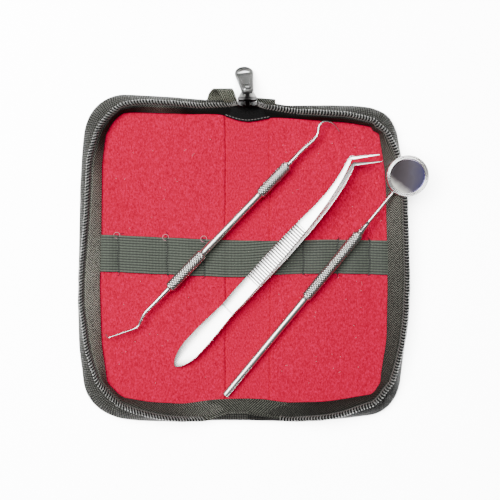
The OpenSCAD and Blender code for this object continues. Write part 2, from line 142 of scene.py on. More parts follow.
def piece(name, verts, faces, material, cloth=None):
    """A mesh object from points in millimetres. cloth gives each point its place on the flat cloth."""
    mesh = bpy.data.meshes.new(name)
    mesh.from_pydata((np.asarray(verts, float) * MM).tolist(), [], faces)
    if cloth is not None:
        flat = mesh.attributes.new("cloth", "FLOAT_VECTOR", "POINT")
        flat.data.foreach_set("vector", np.asarray(cloth, np.float32).ravel())
    tidy = bmesh.new()
    tidy.from_mesh(mesh)
    bmesh.ops.recalc_face_normals(tidy, faces=tidy.faces)
    tidy.to_mesh(mesh)
    tidy.free()
    mesh.polygons.foreach_set("use_smooth", [True] * len(mesh.polygons))
    mesh.set_sharp_from_angle(angle=math.radians(55))
    mesh.materials.append(material)
    obj = bpy.data.objects.new(name, mesh)
    bpy.context.scene.collection.objects.link(obj)
    return obj


def joined(parts):
    """One (points, faces) from several."""
    verts, faces, start = [], [], 0
    for points, polygons in parts:
        verts.extend(points)
        faces.extend([[start + i for i in f] for f in polygons])
        start += len(points)
    return verts, faces


def loft(rings):
    """Skin over closed rings of equal length, capped at both ends."""
    rings = np.asarray(rings, float)
    n, m = rings.shape[:2]
    faces = [[i * m + j, i * m + (j + 1) % m, (i + 1) * m + (j + 1) % m, (i + 1) * m + j]
             for i in range(n - 1) for j in range(m)]
    faces.append(list(range(m))[::-1])
    faces.append([(n - 1) * m + j for j in range(m)])
    return rings.reshape(-1, 3), faces


def grid_normals(p):
    along = np.gradient(p, axis=0)
    across = np.gradient(p, axis=1)
    n = np.cross(along, across)
    return n / np.maximum(np.linalg.norm(n, axis=2, keepdims=True), 1e-9)


def slab(p, thickness):
    """(points, faces, cloth) of a sheet of that thickness whose middle surface is the grid p."""
    n, m = p.shape[:2]
    lift = grid_normals(p) * thickness / 2
    verts = np.concatenate([(p + lift).reshape(-1, 3), (p - lift).reshape(-1, 3)])
    u = np.linalg.norm(np.diff(p, axis=0, prepend=p[:1]), axis=2).cumsum(0)
    v = np.linalg.norm(np.diff(p, axis=1, prepend=p[:, :1]), axis=2).cumsum(1)
    flat = np.stack([np.repeat(u[:, m // 2:m // 2 + 1], m, axis=1), v, np.zeros((n, m))], axis=2)
    cloth = np.concatenate([flat.reshape(-1, 3)] * 2)
    faces = []
    for i in range(n - 1):
        for j in range(m - 1):
            quad = [i * m + j, i * m + j + 1, (i + 1) * m + j + 1, (i + 1) * m + j]
            faces.append(quad)
            faces.append([n * m + k for k in reversed(quad)])
    border = ([(0, j) for j in range(m)] + [(i, m - 1) for i in range(1, n)]
              + [(n - 1, j) for j in range(m - 2, -1, -1)] + [(i, 0) for i in range(n - 2, 0, -1)])
    for a, b in zip(border, border[1:] + border[:1]):
        ka, kb = a[0] * m + a[1], b[0] * m + b[1]
        faces.append([ka, n * m + ka, n * m + kb, kb])
    return verts, faces, cloth


def cloth_piece(name, p, thickness, material):
    verts, faces, cloth = slab(p, thickness)
    return piece(name, verts, faces, material, cloth)


def frames(path):
    """Tangents and two normals along a path, without twist."""
    path = np.asarray(path, float)
    tangent = np.gradient(path, axis=0)
    tangent /= np.linalg.norm(tangent, axis=1, keepdims=True)
    side = np.zeros_like(path)
    first = np.cross(tangent[0], (0.0, 0.0, 1.0) if abs(tangent[0][2]) < 0.9 else (1.0, 0.0, 0.0))
    side[0] = first / np.linalg.norm(first)
    for k in range(1, len(path)):
        turned = side[k - 1] - tangent[k] * (side[k - 1] @ tangent[k])
        side[k] = turned / np.linalg.norm(turned)
    return tangent, side, np.cross(tangent, side)


def tube(path, radius, sides=8):
    """(points, faces) of a round thread, cord or wire. radius is a number or one for each point."""
    path = np.asarray(path, float)
    radius = np.broadcast_to(np.asarray(radius, float), len(path))
    _, a, b = frames(path)
    turn = all_round(sides)
    rings = [path[k] + radius[k] * (np.outer(np.cos(turn), a[k]) + np.outer(np.sin(turn), b[k]))
             for k in range(len(path))]
    return loft(rings)


def curve_through(points, steps):
    """Points on a smooth curve through the given ones."""
    p = np.asarray(points, float)
    n = len(p) - 1
    out = []
    for u in np.linspace(0, n, steps + 1):
        i = min(n - 1, int(u))
        t = u - i
        a, b, c, d = p[max(0, i - 1)], p[i], p[i + 1], p[min(n, i + 2)]
        out.append(0.5 * (2 * b + (c - a) * t + (2 * a - 5 * b + 4 * c - d) * t ** 2
                          + (3 * b - a - 3 * c + d) * t ** 3))
    return np.array(out)


def by_length(path, step):
    """The same path with points at equal distances."""
    path = np.asarray(path, float)
    at = np.concatenate([[0], np.linalg.norm(np.diff(path, axis=0), axis=1).cumsum()])
    wanted = np.linspace(0, at[-1], max(2, int(at[-1] / step) + 1))
    return np.stack([np.interp(wanted, at, path[:, k]) for k in range(path.shape[1])], axis=1)


def turning(degrees, axis):
    return Matrix.Rotation(math.radians(degrees), 4, axis)


def moved(matrix, verts):
    turn = np.array(matrix.to_3x3())
    return np.asarray(verts, float) @ turn.T + np.array(matrix.translation)


def smoothstep(t):
    t = np.clip(t, 0, 1)
    return t * t * (3 - 2 * t)


def ripple(x, y, size, seed):
    """Soft noise between about -1 and 1, at points in millimetres."""
    return noise.noise(Vector((x / size + seed, y / size - seed, seed * 0.7)))


def bell(t, width):
    """1 at 0, falling away smoothly on both sides."""
    return math.exp(-(t / width) ** 2)


def all_round(sides):
    return np.linspace(0, 2 * math.pi, sides, endpoint=False)


def bevelled(obj, width):
    edge = obj.modifiers.new("soft_edges", "BEVEL")
    edge.width = width * MM
    edge.segments = 2
    edge.limit_method = "ANGLE"
    edge.angle_limit = math.radians(35)
    edge.harden_normals = True
    obj.data.polygons.foreach_set("use_smooth", [True] * len(obj.data.polygons))


def fastened(obj, body, slot, *nodes):
    """The piece moves with one body and stands for those CAD nodes."""
    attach(obj, body)
    if nodes:
        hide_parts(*nodes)
    return obj


def placed(name, matrix, shape, material, cuts=None):
    """A piece from (points, faces), put in its place by the matrix."""
    verts, faces = shape
    return piece(name, moved(matrix, verts), faces, M[material], cuts)


# ---------------------------------------------------------------- materials


class Shader:
    """A material's node tree. Places are in millimetres."""

    def __init__(self, name, **sockets):
        self.mat = bpy.data.materials.new(name)
        self.mat.use_nodes = True
        self.tree = self.mat.node_tree
        self.bsdf = self.tree.nodes["Principled BSDF"]
        for key, value in sockets.items():
            self.feed(self.bsdf.inputs[key.replace("_", " ")], value)

    def feed(self, socket, value):
        if isinstance(value, bpy.types.NodeSocket):
            self.tree.links.new(value, socket)
        else:
            socket.default_value = value

    def node(self, kind, inputs=None, **settings):
        n = self.tree.nodes.new("ShaderNode" + kind)
        for key, value in settings.items():
            setattr(n, key, value)
        for key, value in (inputs or {}).items():
            self.feed(n.inputs[key], value)
        return n

    def math(self, operation, a, b=0.0):
        return self.node("Math", {0: a, 1: b}, operation=operation).outputs[0]

    def times(self, a, b):
        return self.math("MULTIPLY", a, b)

    def plus(self, a, b):
        return self.math("ADD", a, b)

    def line(self, value, slope, start):
        """value times slope, plus start."""
        return self.plus(self.times(value, slope), start)

    def place(self, stretch=(1, 1, 1)):
        """Place on the object, in millimetres, times stretch."""
        at = self.node("TexCoord").outputs["Object"]
        scale = tuple(s / MM for s in stretch)
        return self.node("Mapping", {"Vector": at, "Scale": scale}).outputs[0]

    def cloth(self):
        """Place on the flat cloth as (u, v)."""
        at = self.node("Attribute", attribute_name="cloth").outputs["Vector"]
        parts = self.node("SeparateXYZ", {0: at})
        return at, parts.outputs[0], parts.outputs[1]

    def noise(self, at, scale, detail=3.0, rough=0.55):
        made = self.node("TexNoise", {"Vector": at, "Scale": scale, "Detail": detail, "Roughness": rough})
        return made.outputs[0]

    def ramp(self, value, stops):
        n = self.node("ValToRGB", {0: value})
        points = n.color_ramp.elements
        while len(points) < len(stops):
            points.new(0.5)
        for point, (at, colour) in zip(points, stops):
            point.position = at
            point.color = (*colour, 1) if len(colour) == 3 else colour
        return n.outputs[0]

    def mix(self, amount, a, b, blend="MIX"):
        n = self.node("Mix", data_type="RGBA", blend_type=blend)
        self.feed(n.inputs[0], amount)
        self.feed(n.inputs[6], a if isinstance(a, bpy.types.NodeSocket) else (*a, 1))
        self.feed(n.inputs[7], b if isinstance(b, bpy.types.NodeSocket) else (*b, 1))
        return n.outputs[2]

    def bump(self, height, distance, before=None):
        inputs = {"Height": height, "Distance": distance * MM, "Strength": 1.0}
        if before is not None:
            inputs["Normal"] = before
        return self.node("Bump", inputs).outputs[0]

    def along_rim(self, u, lightness, colour, dark):
        """The colour where the table gives 1, and dark where it gives 0: painted shade along the rim."""
        share = self.ramp(self.math("DIVIDE", u, RIM_L), [(at, (value,) * 3) for at, value in lightness])
        return self.mix(share, dark, colour)

    def finish(self, colour=None, roughness=None, normal=None):
        if colour is not None:
            self.feed(self.bsdf.inputs["Base Color"], colour)
        if roughness is not None:
            self.feed(self.bsdf.inputs["Roughness"], roughness)
        if normal is not None:
            self.feed(self.bsdf.inputs["Normal"], normal)
        return self.mat


def hump(s, value):
    """0 at whole numbers and 1 half-way between."""
    return s.math("ABSOLUTE", s.math("SINE", s.times(value, math.pi)))


def plain_weave(s, u, v, pitch):
    """Height of a plain weave: each thread goes over one and under the next."""
    cu, cv = s.math("DIVIDE", u, pitch), s.math("DIVIDE", v, pitch)
    over = s.math("MODULO", s.plus(s.math("FLOOR", cu), s.math("FLOOR", cv)), 2.0)
    over = s.math("ABSOLUTE", over)
    a, b = hump(s, cu), hump(s, cv)
    warp = s.times(s.math("SQRT", a), s.line(b, 0.5, 0.5))
    weft = s.times(s.math("SQRT", b), s.line(a, 0.5, 0.5))
    under = s.math("SUBTRACT", 1.0, over)
    return s.plus(s.times(warp, over), s.times(weft, under))


def herringbone(s, u, v, pitch, band):
    """Height of slanted ribs that turn back every band."""
    back = s.math("PINGPONG", v, band)
    return hump(s, s.math("DIVIDE", s.plus(u, back), pitch))


def canvas(name, dark, light, pitch=1.3, lightness=((0, 1), (1, 1))):
    s = Shader(name, Roughness=0.9, Specular_IOR_Level=0.12)
    at, u, v = s.cloth()
    height = plain_weave(s, u, v, pitch)
    worn = s.noise(at, 0.09, 4)
    fleck = s.noise(at, 1.6, 2)
    shade = s.times(height, s.line(fleck, 1.3, 0.2))
    base = s.ramp(shade, [(0.34, dark), (0.55, light), (0.85, tuple(min(1, c * 3) for c in light))])
    colour = s.along_rim(u, lightness, s.mix(s.times(worn, 0.5), base, dark), dark)
    return s.finish(colour, s.line(fleck, 0.2, 0.68),
                    s.bump(s.noise(at, 3.5, 2), 0.05, s.bump(height, 0.28)))


def twill(name, dark, light, pitch=1.35, band=3.4, lightness=((0, 1), (1, 1))):
    s = Shader(name, Roughness=0.9, Specular_IOR_Level=0.12)
    at, u, v = s.cloth()
    height = herringbone(s, u, v, pitch, band)
    fleck = s.noise(at, 1.3, 3, 0.7)
    shade = s.times(height, s.line(fleck, 1.9, -0.1))
    base = s.ramp(shade, [(0.28, dark), (0.6, light), (0.85, tuple(min(1, c * 4) for c in light))])
    colour = s.along_rim(u, lightness, s.mix(s.times(s.noise(at, 0.12, 3), 0.4), base, dark), dark)
    return s.finish(colour, s.line(fleck, 0.2, 0.66),
                    s.bump(s.noise(at, 3.0, 2), 0.06, s.bump(height, 0.25)))


def brushed_lining():
    s = Shader("lining_crimson", Roughness=0.9, Specular_IOR_Level=0.03)
    grain = s.noise(s.place((1.3, 0.7, 1.3)), 1.0, 4, 0.7)
    nap = s.noise(s.place((0.045, 0.03, 0.03)), 1.0, 3)
    fuzz = s.noise(s.place(), 2.6, 3, 0.7)
    deep, mid, pale = (0.28, 0.0, 0.014), (0.58, 0.0, 0.038), (0.88, 0.002, 0.11)
    mixed = s.plus(s.times(grain, 0.6), s.times(fuzz, 0.4))
    tuft = s.ramp(mixed, [(0.36, deep), (0.5, mid), (0.64, pale)])
    colour = s.mix(s.times(nap, 0.35), tuft, mid)
    return s.finish(colour, s.line(grain, 0.2, 0.7),
                    s.bump(fuzz, 0.12, s.bump(grain, 0.16)))


def ribbed_elastic():
    s = Shader("elastic_black", Roughness=0.72, Sheen_Weight=0.2)
    at, u, v = s.cloth()
    knit = s.times(hump(s, s.math("DIVIDE", u, 0.8)), 0.7)
    rib = hump(s, s.math("DIVIDE", v, RIB_PITCH))
    height = s.times(s.plus(knit, 0.3), rib)
    fleck = s.noise(at, 1.4, 3, 0.7)
    shade = s.times(height, s.line(fleck, 2.0, -0.15))
    colour = s.ramp(shade, [(0.08, (0.003, 0.005, 0.003)), (0.75, (0.12, 0.14, 0.108))])
    return s.finish(colour, s.line(fleck, 0.2, 0.6), s.bump(height, 0.2))


def thread(name, colour, roughness=0.7):
    s = Shader(name, Roughness=roughness, Sheen_Weight=0.2)
    ply = s.noise(s.place(), 2.2, 2)
    shade = tuple(c * 0.55 for c in colour)
    shine = tuple(min(1, c * 1.5) for c in colour)
    tone = s.ramp(ply, [(0.3, shade), (0.75, shine)])
    return s.finish(tone, s.plus(s.times(ply, 0.2), roughness - 0.1), s.bump(ply, 0.08))


def nylon_coil():
    s = Shader("coil_nylon", Specular_IOR_Level=0.7, Coat_Weight=0.3, Coat_Roughness=0.25)
    lightness = s.noise(s.place(), 0.9, 3)
    colour = s.ramp(lightness, [(0.3, (0.08, 0.078, 0.072)), (0.75, (0.28, 0.275, 0.255))])
    return s.finish(colour, s.line(lightness, 0.25, 0.2), s.bump(lightness, 0.04))


def metal(name, dark, light, low, high, scale, grain, groove_shade=0.0):
    """Metal with a fine grain; low and high are its least and greatest roughness.

    Painted shade darkens it where the first number of the "cloth" attribute, there the depth of a cut, is 1.
    """
    s = Shader(name, Metallic=1.0)
    lines = s.noise(s.place((scale,) * 3), 1.0, 3, 0.6)
    smear = s.noise(s.place(), 0.08, 3)
    colour = s.ramp(s.plus(s.times(lines, 0.35), s.times(smear, 0.65)),
                    [(0.3, dark), (0.7, light)])
    # painted shade in the cuts: darker the deeper a point lies
    if groove_shade:
        colour = s.mix(s.times(s.cloth()[1], groove_shade), colour, (0.05, 0.052, 0.045))
    rough = s.line(smear, high - low, low)
    return s.finish(colour, rough, s.bump(lines, grain))


def slider_metal():
    """Worn zinc whose nose, towards the teeth, is painted black as shade."""
    s = Shader("slider_zinc", Metallic=1.0)
    grain = s.noise(s.place((2, 2, 2)), 1.0, 3, 0.6)
    at = s.node("SeparateXYZ", {0: s.node("NewGeometry").outputs["Position"]})
    nose = s.math("DIVIDE", s.math("SUBTRACT", NOSE_SHADE_Y * MM, at.outputs[1]), MM)
    worn = s.ramp(grain, [(0.3, (0.09, 0.09, 0.087)), (0.7, (0.24, 0.24, 0.23))])
    # painted shade: the nose turns black
    colour = s.mix(s.ramp(nose, [(0.0, (0, 0, 0)), (0.6, (1, 1, 1))]), worn, (0.012, 0.011, 0.011))
    return s.finish(colour, s.line(grain, 0.15, 0.3), s.bump(grain, 0.05))


def mirror_face():
    """Silvered glass with a painted reflection: a purple-blue tint that deepens towards one side, and a pale,
    less metallic patch towards the other.
    """
    s = Shader("mirror_silvering", Coat_Weight=1.0, Coat_Roughness=0.01)
    lo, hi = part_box("mirror_glass")
    at = s.node("TexCoord").outputs["Object"]
    parts = s.node("SeparateXYZ", {0: at})
    across = s.math("DIVIDE", s.math("SUBTRACT", parts.outputs[0], lo.x), hi.x - lo.x)
    up = s.math("DIVIDE", s.math("SUBTRACT", parts.outputs[1], lo.y), hi.y - lo.y)
    haze = s.noise(s.place((0.11, 0.11, 0.11)), 1.0, 2)
    lean = s.plus(s.times(across, 0.9), s.times(up, -0.12))
    reflection_tint = s.ramp(s.plus(lean, s.times(haze, 0.3)),
                    [(0.2, (0.27, 0.22, 0.25)), (0.5, (0.42, 0.36, 0.42)), (0.68, (0.5, 0.45, 0.6)),
                     (0.95, (0.28, 0.26, 0.66))])
    low = s.plus(s.times(across, 0.75), up)
    # painted reflection: a pale patch towards low x and y
    pale_reflection = s.ramp(s.plus(low, s.times(haze, 0.3)), [(0.5, (1, 1, 1)), (0.72, (0, 0, 0))])
    reflection_tint = s.mix(pale_reflection, reflection_tint, (0.9, 0.88, 0.8))
    s.feed(s.bsdf.inputs["Metallic"], s.math("SUBTRACT", 1.0, s.times(pale_reflection, 0.75)))
    return s.finish(reflection_tint, s.line(haze, 0.06, 0.03))


def board_grey():
    s = Shader("board_pulp", Roughness=0.9)
    pulp = s.noise(s.place(), 0.8, 4)
    tone = s.ramp(pulp, [(0.3, (0.3, 0.27, 0.2)), (0.7, (0.5, 0.46, 0.36))])
    return s.finish(tone, None, s.bump(pulp, 0.1))


def foam_white():
    s = Shader("foam_cells", Roughness=0.95)
    cells = s.node("TexVoronoi", {"Vector": s.place(), "Scale": 1.4}).outputs[0]
    tone = s.ramp(cells, [(0.1, (0.5, 0.49, 0.44)), (0.6, (0.8, 0.79, 0.74))])
    return s.finish(tone, None, s.bump(cells, 0.2))


BLACK = (0.0015, 0.0015, 0.0012)
WALL_TONE = (0.07, 0.07, 0.062)
TAPE_TONE = (0.17, 0.17, 0.145)
# Painted shade along the rim's cloth, from 0 for black to 1 for its full tone: blackest at the top by the
# slider, where the rim lies in shade, and lighter or darker by stretch elsewhere: (share of the rim's length,
# lightness)
RIM_SHADE = {
    "wall_left": ((0, 0.25), (0.1, 0.8), (0.25, 0.7), (0.42, 0.7), (0.58, 0.45), (0.72, 0.8), (0.86, 0.4),
                   (1, 0.7)),
    "wall_right": ((0, 0.25), (0.1, 0.5), (0.26, 0.6), (0.34, 0.15), (0.5, 0.2), (0.68, 0.05),
                    (0.85, 0.05), (1, 0.5)),
    "tape_left": ((0, 0), (0.1, 0.02), (0.14, 0.35), (0.18, 0.05), (0.26, 0.12), (0.32, 0.75), (0.48, 1),
                   (0.62, 0.65), (0.69, 0.2), (0.76, 0.2), (0.84, 0.4), (0.93, 0.25), (1, 0.12)),
    "tape_right": ((0, 0), (0.12, 0.03), (0.2, 0.15), (0.28, 0.4), (0.36, 0.42), (0.45, 0.28),
                    (0.56, 0.2), (0.66, 0.1), (0.75, 0.07), (0.86, 0.22), (1, 0.22))}

M = {
    "canvas": canvas("outer_canvas", BLACK, (0.085, 0.084, 0.074)),
    # The walls and tapes below are darkened along the rim by painted shade, from the table above.
    "wall_left": canvas("wall_left", BLACK, WALL_TONE, 1.3, RIM_SHADE["wall_left"]),
    "wall_right": canvas("wall_right", BLACK, WALL_TONE, 1.3, RIM_SHADE["wall_right"]),
    "tape_left": twill("tape_left", BLACK, TAPE_TONE, 1.35, 3.4, RIM_SHADE["tape_left"]),
    "tape_right": twill("tape_right", BLACK, TAPE_TONE, 1.35, 3.4, RIM_SHADE["tape_right"]),
    "tape_low": twill("tape_low", BLACK, (0.04, 0.041, 0.034), 1.35, 9.0),
    # Near black: painted shade, under the slider and under the coil's turns.
    "patch": twill("painted_shade_black", BLACK, (0.005, 0.005, 0.005), 0.8, 2.4),
    "webbing": twill("loop_webbing", (0.004, 0.004, 0.003), (0.07, 0.072, 0.056), 1.1, 2.6),
    "lining": brushed_lining(),
    "elastic": ribbed_elastic(),
    "thread_dark": thread("thread_black", (0.006, 0.006, 0.006)),
    "thread_grey": thread("thread_grey", (0.23, 0.21, 0.21)),
    "thread_low": thread("thread_low", (0.085, 0.085, 0.078)),
    "thread_pink": thread("thread_pink", (0.75, 0.3, 0.36)),
    "lint": thread("lint_fibre", (0.8, 0.35, 0.42), 0.9),
    "coil": nylon_coil(),
    "slider": slider_metal(),
    "gunmetal": metal("zip_gunmetal", (0.06, 0.06, 0.058), (0.17, 0.17, 0.165), 0.28, 0.45, 2, 0.05),
    # The last number is the strength of the painted shade in the cuts.
    "satin": metal("steel_satin", (0.66, 0.66, 0.63), (0.92, 0.92, 0.88), 0.22, 0.4, 2, 0.02, 0.9),
    "bright": metal("steel_bright", (0.78, 0.77, 0.76), (0.95, 0.94, 0.93), 0.16, 0.3, 0.5, 0.01, 0.5),
    "glass": mirror_face(),
    "board": board_grey(),
    "foam": foam_white(),
}

# ---------------------------------------------------------------- the rim's lines


def nominal(s):
    """Points of the pattern's edge and the directions inward, for the right half."""
    s = np.asarray(s, float)
    first = np.clip(s - STRAIGHT, 0, ARC) / CORNER_R
    second = np.clip(s - 3 * STRAIGHT - ARC, 0, ARC) / CORNER_R
    turn = math.pi / 2 - first - second
    x = np.clip(s, 0, STRAIGHT) - np.clip(s - 3 * STRAIGHT - 2 * ARC, 0, STRAIGHT)
    y = STRAIGHT - np.clip(s - STRAIGHT - ARC, 0, 2 * STRAIGHT)
    out = np.stack([np.cos(turn), np.sin(turn)], axis=-1)
    return np.stack([x, y], axis=-1) + CORNER_R * out, -out


def offset_line(table, s, soften=3.0):
    """The offset at each s, with the table's corners rounded off."""
    knots, values = zip(*table)
    fine = np.arange(knots[0] - 20, knots[-1] + 20, 0.5)
    raw = np.interp(fine, knots, values)
    kernel = np.exp(-0.5 * (np.arange(-24, 25) * 0.5 / soften) ** 2)
    even = np.convolve(np.pad(raw, 24, "edge"), kernel / kernel.sum(), "valid")
    return np.interp(s, fine, even)


def lowered(z, x):
    """Rim height z once it is let down towards the folds."""
    share = RAMP_LOW + (1 - RAMP_LOW) * smoothstep((np.abs(x) - RAMP_START) / (RAMP_END - RAMP_START))
    return np.where(z <= FLOOR_Z, z, FLOOR_Z + (z - FLOOR_Z) * share)


def coil_height(side, s):
    """Height of the coil's middle: it sinks where the wall leans in further."""
    lean = offset_line(COIL[side], s) - offset_line(OUTER[side], s)
    return COIL_Z - 0.25 * np.maximum(0, lean - 3)


def at_rim(side, s, offset, z):
    """Points on the rim, shape (..., 3), let down near the folds."""
    edge, inward = nominal(s)
    xy = edge + np.asarray(offset)[..., None] * inward
    height = lowered(np.broadcast_to(np.asarray(z, float), xy.shape[:-1]), xy[..., 0])
    return np.stack([SIDES[side] * xy[..., 0], xy[..., 1], height], axis=-1)


def rim_grid(side, s, columns):
    """A grid along s whose columns are (offset, height) pairs of arrays over s."""
    return np.stack([at_rim(side, s, offset, z) for offset, z in columns], axis=1)


def bends(obj, side, slot, *nodes):
    """Fabric that crosses a fold: its place is baked into its points, and it stands for those CAD nodes."""
    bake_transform(obj)
    if nodes:
        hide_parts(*nodes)


RIM_S = np.concatenate([np.arange(0, RIM_L, 0.9), [RIM_L]])

# ---------------------------------------------------------------- case: skins, rim, lining


def outer_wall(side):
    """The canvas wall, from its flange under the case up to its turned edge at the coil."""
    s = RIM_S
    out, coil, top = offset_line(OUTER[side], s), offset_line(COIL[side], s), coil_height(side, s)
    top = top - WALL_DROP * smoothstep((s - RIM_L + COIL_END[side]) / 6)
    corners = (STRAIGHT + ARC / 2, 3 * STRAIGHT + 1.5 * ARC)
    corner = sum(smoothstep(1 - np.abs(s - middle) / 34) for middle in corners)
    columns = [(out + 9, 0.32), (out + 5, 0.32), (out + 2.2, 0.34),
               (out + 1.1, 0.55), (out + 0.45, 1.3), (out + 0.12, 2.5)]
    reach = coil - 1.0 - out
    for t in np.linspace(0, 1, 12):
        bulge = 0.55 * math.sin(math.pi * t) * np.clip(reach / 6, 0.5, 1.4)
        rise = WALL_FOOT + (top - 0.3 - WALL_FOOT) * t ** 0.82
        wave = np.array([ripple(k, t * 11, 7, 3.1 if side == "left" else 8.3) for k in s])
        gather = np.sin(s * 2 * math.pi / 5.2 + 2 * t) * corner * 0.16 * math.sin(math.pi * t)
        swell = 0.5 * wave * math.sin(math.pi * t) + gather
        columns.append((out + reach * t - bulge * 0.35 - swell * 0.5, rise + bulge * 0.6 + swell * 0.5))
    columns += [(coil - 0.72, top - 0.35), (coil - 0.75, top - 1.1)]
    wall = cloth_piece(side + "_canvas_wall", rim_grid(side, s, columns), 0.6, M["wall_" + side])
    bends(wall, side, "outer_fabric", side + "_side_wall")


def tape_band(side):
    """The zip's tape: under the coil, a groove at the seam, then down to its cut edge."""
    s = RIM_S
    coil, top = offset_line(COIL[side], s), coil_height(side, s)
    inner = np.maximum(offset_line(TAPE[side], s), coil + 2.5)
    seam = coil + np.minimum(1.95, (inner - coil) * 0.6)
    columns = [(coil - 1.15, top - 1.1), (coil - 0.4, top - 1.35), (coil + 0.5, top - 1.25),
               (coil + 1.0, top - 0.6), (coil + 1.5, top - 0.45), (seam, top - 0.95),
               (seam + 0.45, top - SEAM_DROP)]
    for t in np.linspace(0.12, 1, 10):
        wave = np.array([ripple(k, t * 9, 5, 5.5) for k in s])
        sag = 0.5 * math.sin(math.pi * t)
        offset = seam + 0.45 + (inner - seam - 0.45) * t
        fall = (TAPE_EDGE_Z - top + SEAM_DROP) * t ** 0.9
        columns.append((offset, top - SEAM_DROP + fall + sag + 0.18 * wave))
    columns.append((inner + 0.16, TAPE_EDGE_Z - 0.3))
    band = cloth_piece(side + "_tape_band", rim_grid(side, s, columns), 0.55, M["tape_" + side])
    bends(band, side, "zip_tape", side + "_zip_tape")


def coil_path(side):
    """The coil's middle line, from the slider to its end by the bottom fold."""
    s = np.arange(5.6, RIM_L - COIL_END[side], 0.4)
    path = at_rim(side, s, offset_line(COIL[side], s), coil_height(side, s))
    near = smoothstep((10 - np.abs(path[:, 0])) / 5) * (path[:, 1] > 0)
    path[:, 2] += 0.45 + near * 3.2
    return by_length(path, COIL_STEP)


def zip_coil(side):
    """Monofilament wound round the tape's edge, one turn a tooth."""
    path = coil_path(side)
    tangent = np.gradient(path, axis=0)
    tangent /= np.linalg.norm(tangent, axis=1, keepdims=True)
    across = np.cross(tangent, (0, 0, 1))
    across /= np.linalg.norm(across, axis=1, keepdims=True)
    up = np.cross(across, tangent)
    along = np.arange(len(path)) * COIL_STEP
    turn = 2 * math.pi * along / TOOTH_PITCH * SIDES[side]
    wide, high = COIL_R * np.cos(turn), 0.9 * np.sin(turn)
    slant = 0.3 * np.cos(turn) + 0.36 * np.sin(turn)
    line = path + across * wide[:, None] + up * high[:, None] + tangent * slant[:, None]
    coil = piece(side + "_coil_teeth", *tube(line, 0.31, 7), M["coil"])
    bends(coil, side, "zip_coil", side + "_zip_coil")


def coil_shade_strip(side):
    """Black strip under the coil's turns: painted shade in the gaps between them and over their inner halves.
    """
    s = np.arange(9, RIM_L - COIL_END[side], 0.9)
    coil, top = offset_line(COIL[side], s), coil_height(side, s)
    section = [(-0.95, 0.1), (-0.5, -0.05), (0, -0.2), (0.4, -0.85), (0.85, -1.2), (1.15, -0.5)]
    columns = [(coil + across, top - drop) for across, drop in section]
    bed = cloth_piece(side + "_coil_shade_strip", rim_grid(side, s, columns), 0.3, M["patch"])
    bends(bed, side, "zip_tape")


def seam_cord(side):
    """The stitching that holds the coil: a line of thread along the tape, stitch after stitch."""
    s = np.arange(9, RIM_L - COIL_END[side], 0.35)
    offset = offset_line(COIL[side], s) + 1.42
    path = at_rim(side, s, offset, coil_height(side, s) - 0.22)
    radius = 0.24 * (0.72 + 0.28 * np.abs(np.sin(np.arange(len(s)) * 0.35 * math.pi / 2.2)))
    cord = piece(side + "_coil_stitching", *tube(path, radius, 6), M["thread_low"])
    bends(cord, side, "thread")


def base_piping(side):
    """A rolled seam where the wall meets the flange, round the foot of the case."""
    s = RIM_S
    path = at_rim(side, s, offset_line(OUTER[side], s) + 0.75, 0.85)
    radius = 0.5 + 0.06 * np.sin(np.arange(len(s)) * 0.9 * 2 * math.pi / 2.4)
    cloth = np.stack([np.repeat(s, 8), np.tile(np.arange(8) * 0.4, len(s)), np.zeros(8 * len(s))], axis=1)
    roll = piece(side + "_base_piping", *tube(path, radius, 8), M["canvas"], cloth)
    bends(roll, side, "outer_fabric")


# The flat layers: distance from the pattern's edge and corner radius, of each half
LAYER = {"left": (7.0, 30.0), "right": (9.0, 34.0)}


def half_grid(side, x_from, extra, height, step):
    """A grid over one half's flat layers; extra pulls its edge in, height(x, y) is its middle."""
    inset, r = LAYER[side][0] + extra, LAYER[side][1] - extra
    x1 = y1 = EDGE - inset
    straight = np.arange(x_from, x1 - r, step)
    creased = CREASE_X + np.array([-1.2, -0.7, -0.35, 0, 0.35, 0.7, 1.2])
    if x_from < FOLD_X:
        straight = np.sort(np.concatenate([straight[np.abs(straight - CREASE_X) > 1.6], creased]))
    bent = x1 - r + r * np.sin(np.linspace(0, math.pi / 2, int(r * 1.4 / step)))
    xs = np.concatenate([straight, bent])
    rows = int(2 * y1 / step)
    grid = np.zeros((len(xs), rows + 1, 3))
    for i, x in enumerate(xs):
        reach = y1 if x <= x1 - r else y1 - r + math.sqrt(max(0, r * r - (x - x1 + r) ** 2))
        for j in range(rows + 1):
            y = -reach + 2 * reach * j / rows
            grid[i, j] = (SIDES[side] * x, y, height(x, y))
    return grid


def lining_height(side):
    seed = 2.7 if side == "left" else 6.4

    def height(x, y):
        z = SPINE_Z + (FLOOR_Z - SPINE_Z) * float(smoothstep((x - FOLD_X) / 3))
        inside = float(smoothstep((x - 14) / 8))
        z += inside * 0.28 * ripple(x, y * 0.25, 9, seed) + 0.1 * ripple(x, y * 0.4, 3.5, seed)
        crease = CREASE_X + 0.5 * ripple(0, y, 22, seed)
        z -= 0.55 * bell(x - crease, 0.4) - 0.3 * bell(x - crease - 1.1, 0.5)
        for tack in TACKS[side]:
            away = abs(y - elastic_middle(SIDES[side] * x))
            edge = bell(away - ELASTIC_W[side] / 2, 4)
            z -= 0.3 * bell(x - tack, 1.6) * edge
        return z - 0.25
    return height


def elastic_middle(x):
    """The band lies a little askew: y of its middle at x."""
    return float(offset_line(BAND_MIDDLE, x, 6.0))


def elastic_width(x):
    return ELASTIC_W["left"] + (ELASTIC_W["right"] - ELASTIC_W["left"]) * float(smoothstep((x + 4) / 24))


def lining(side):
    grid = half_grid(side, 0, 0, lining_height(side), 1.1)
    sheet = cloth_piece(side + "_lining_sheet", grid, 0.5, M["lining"])
    bends(sheet, side, "lining", side + "_lining", "spine_lining")


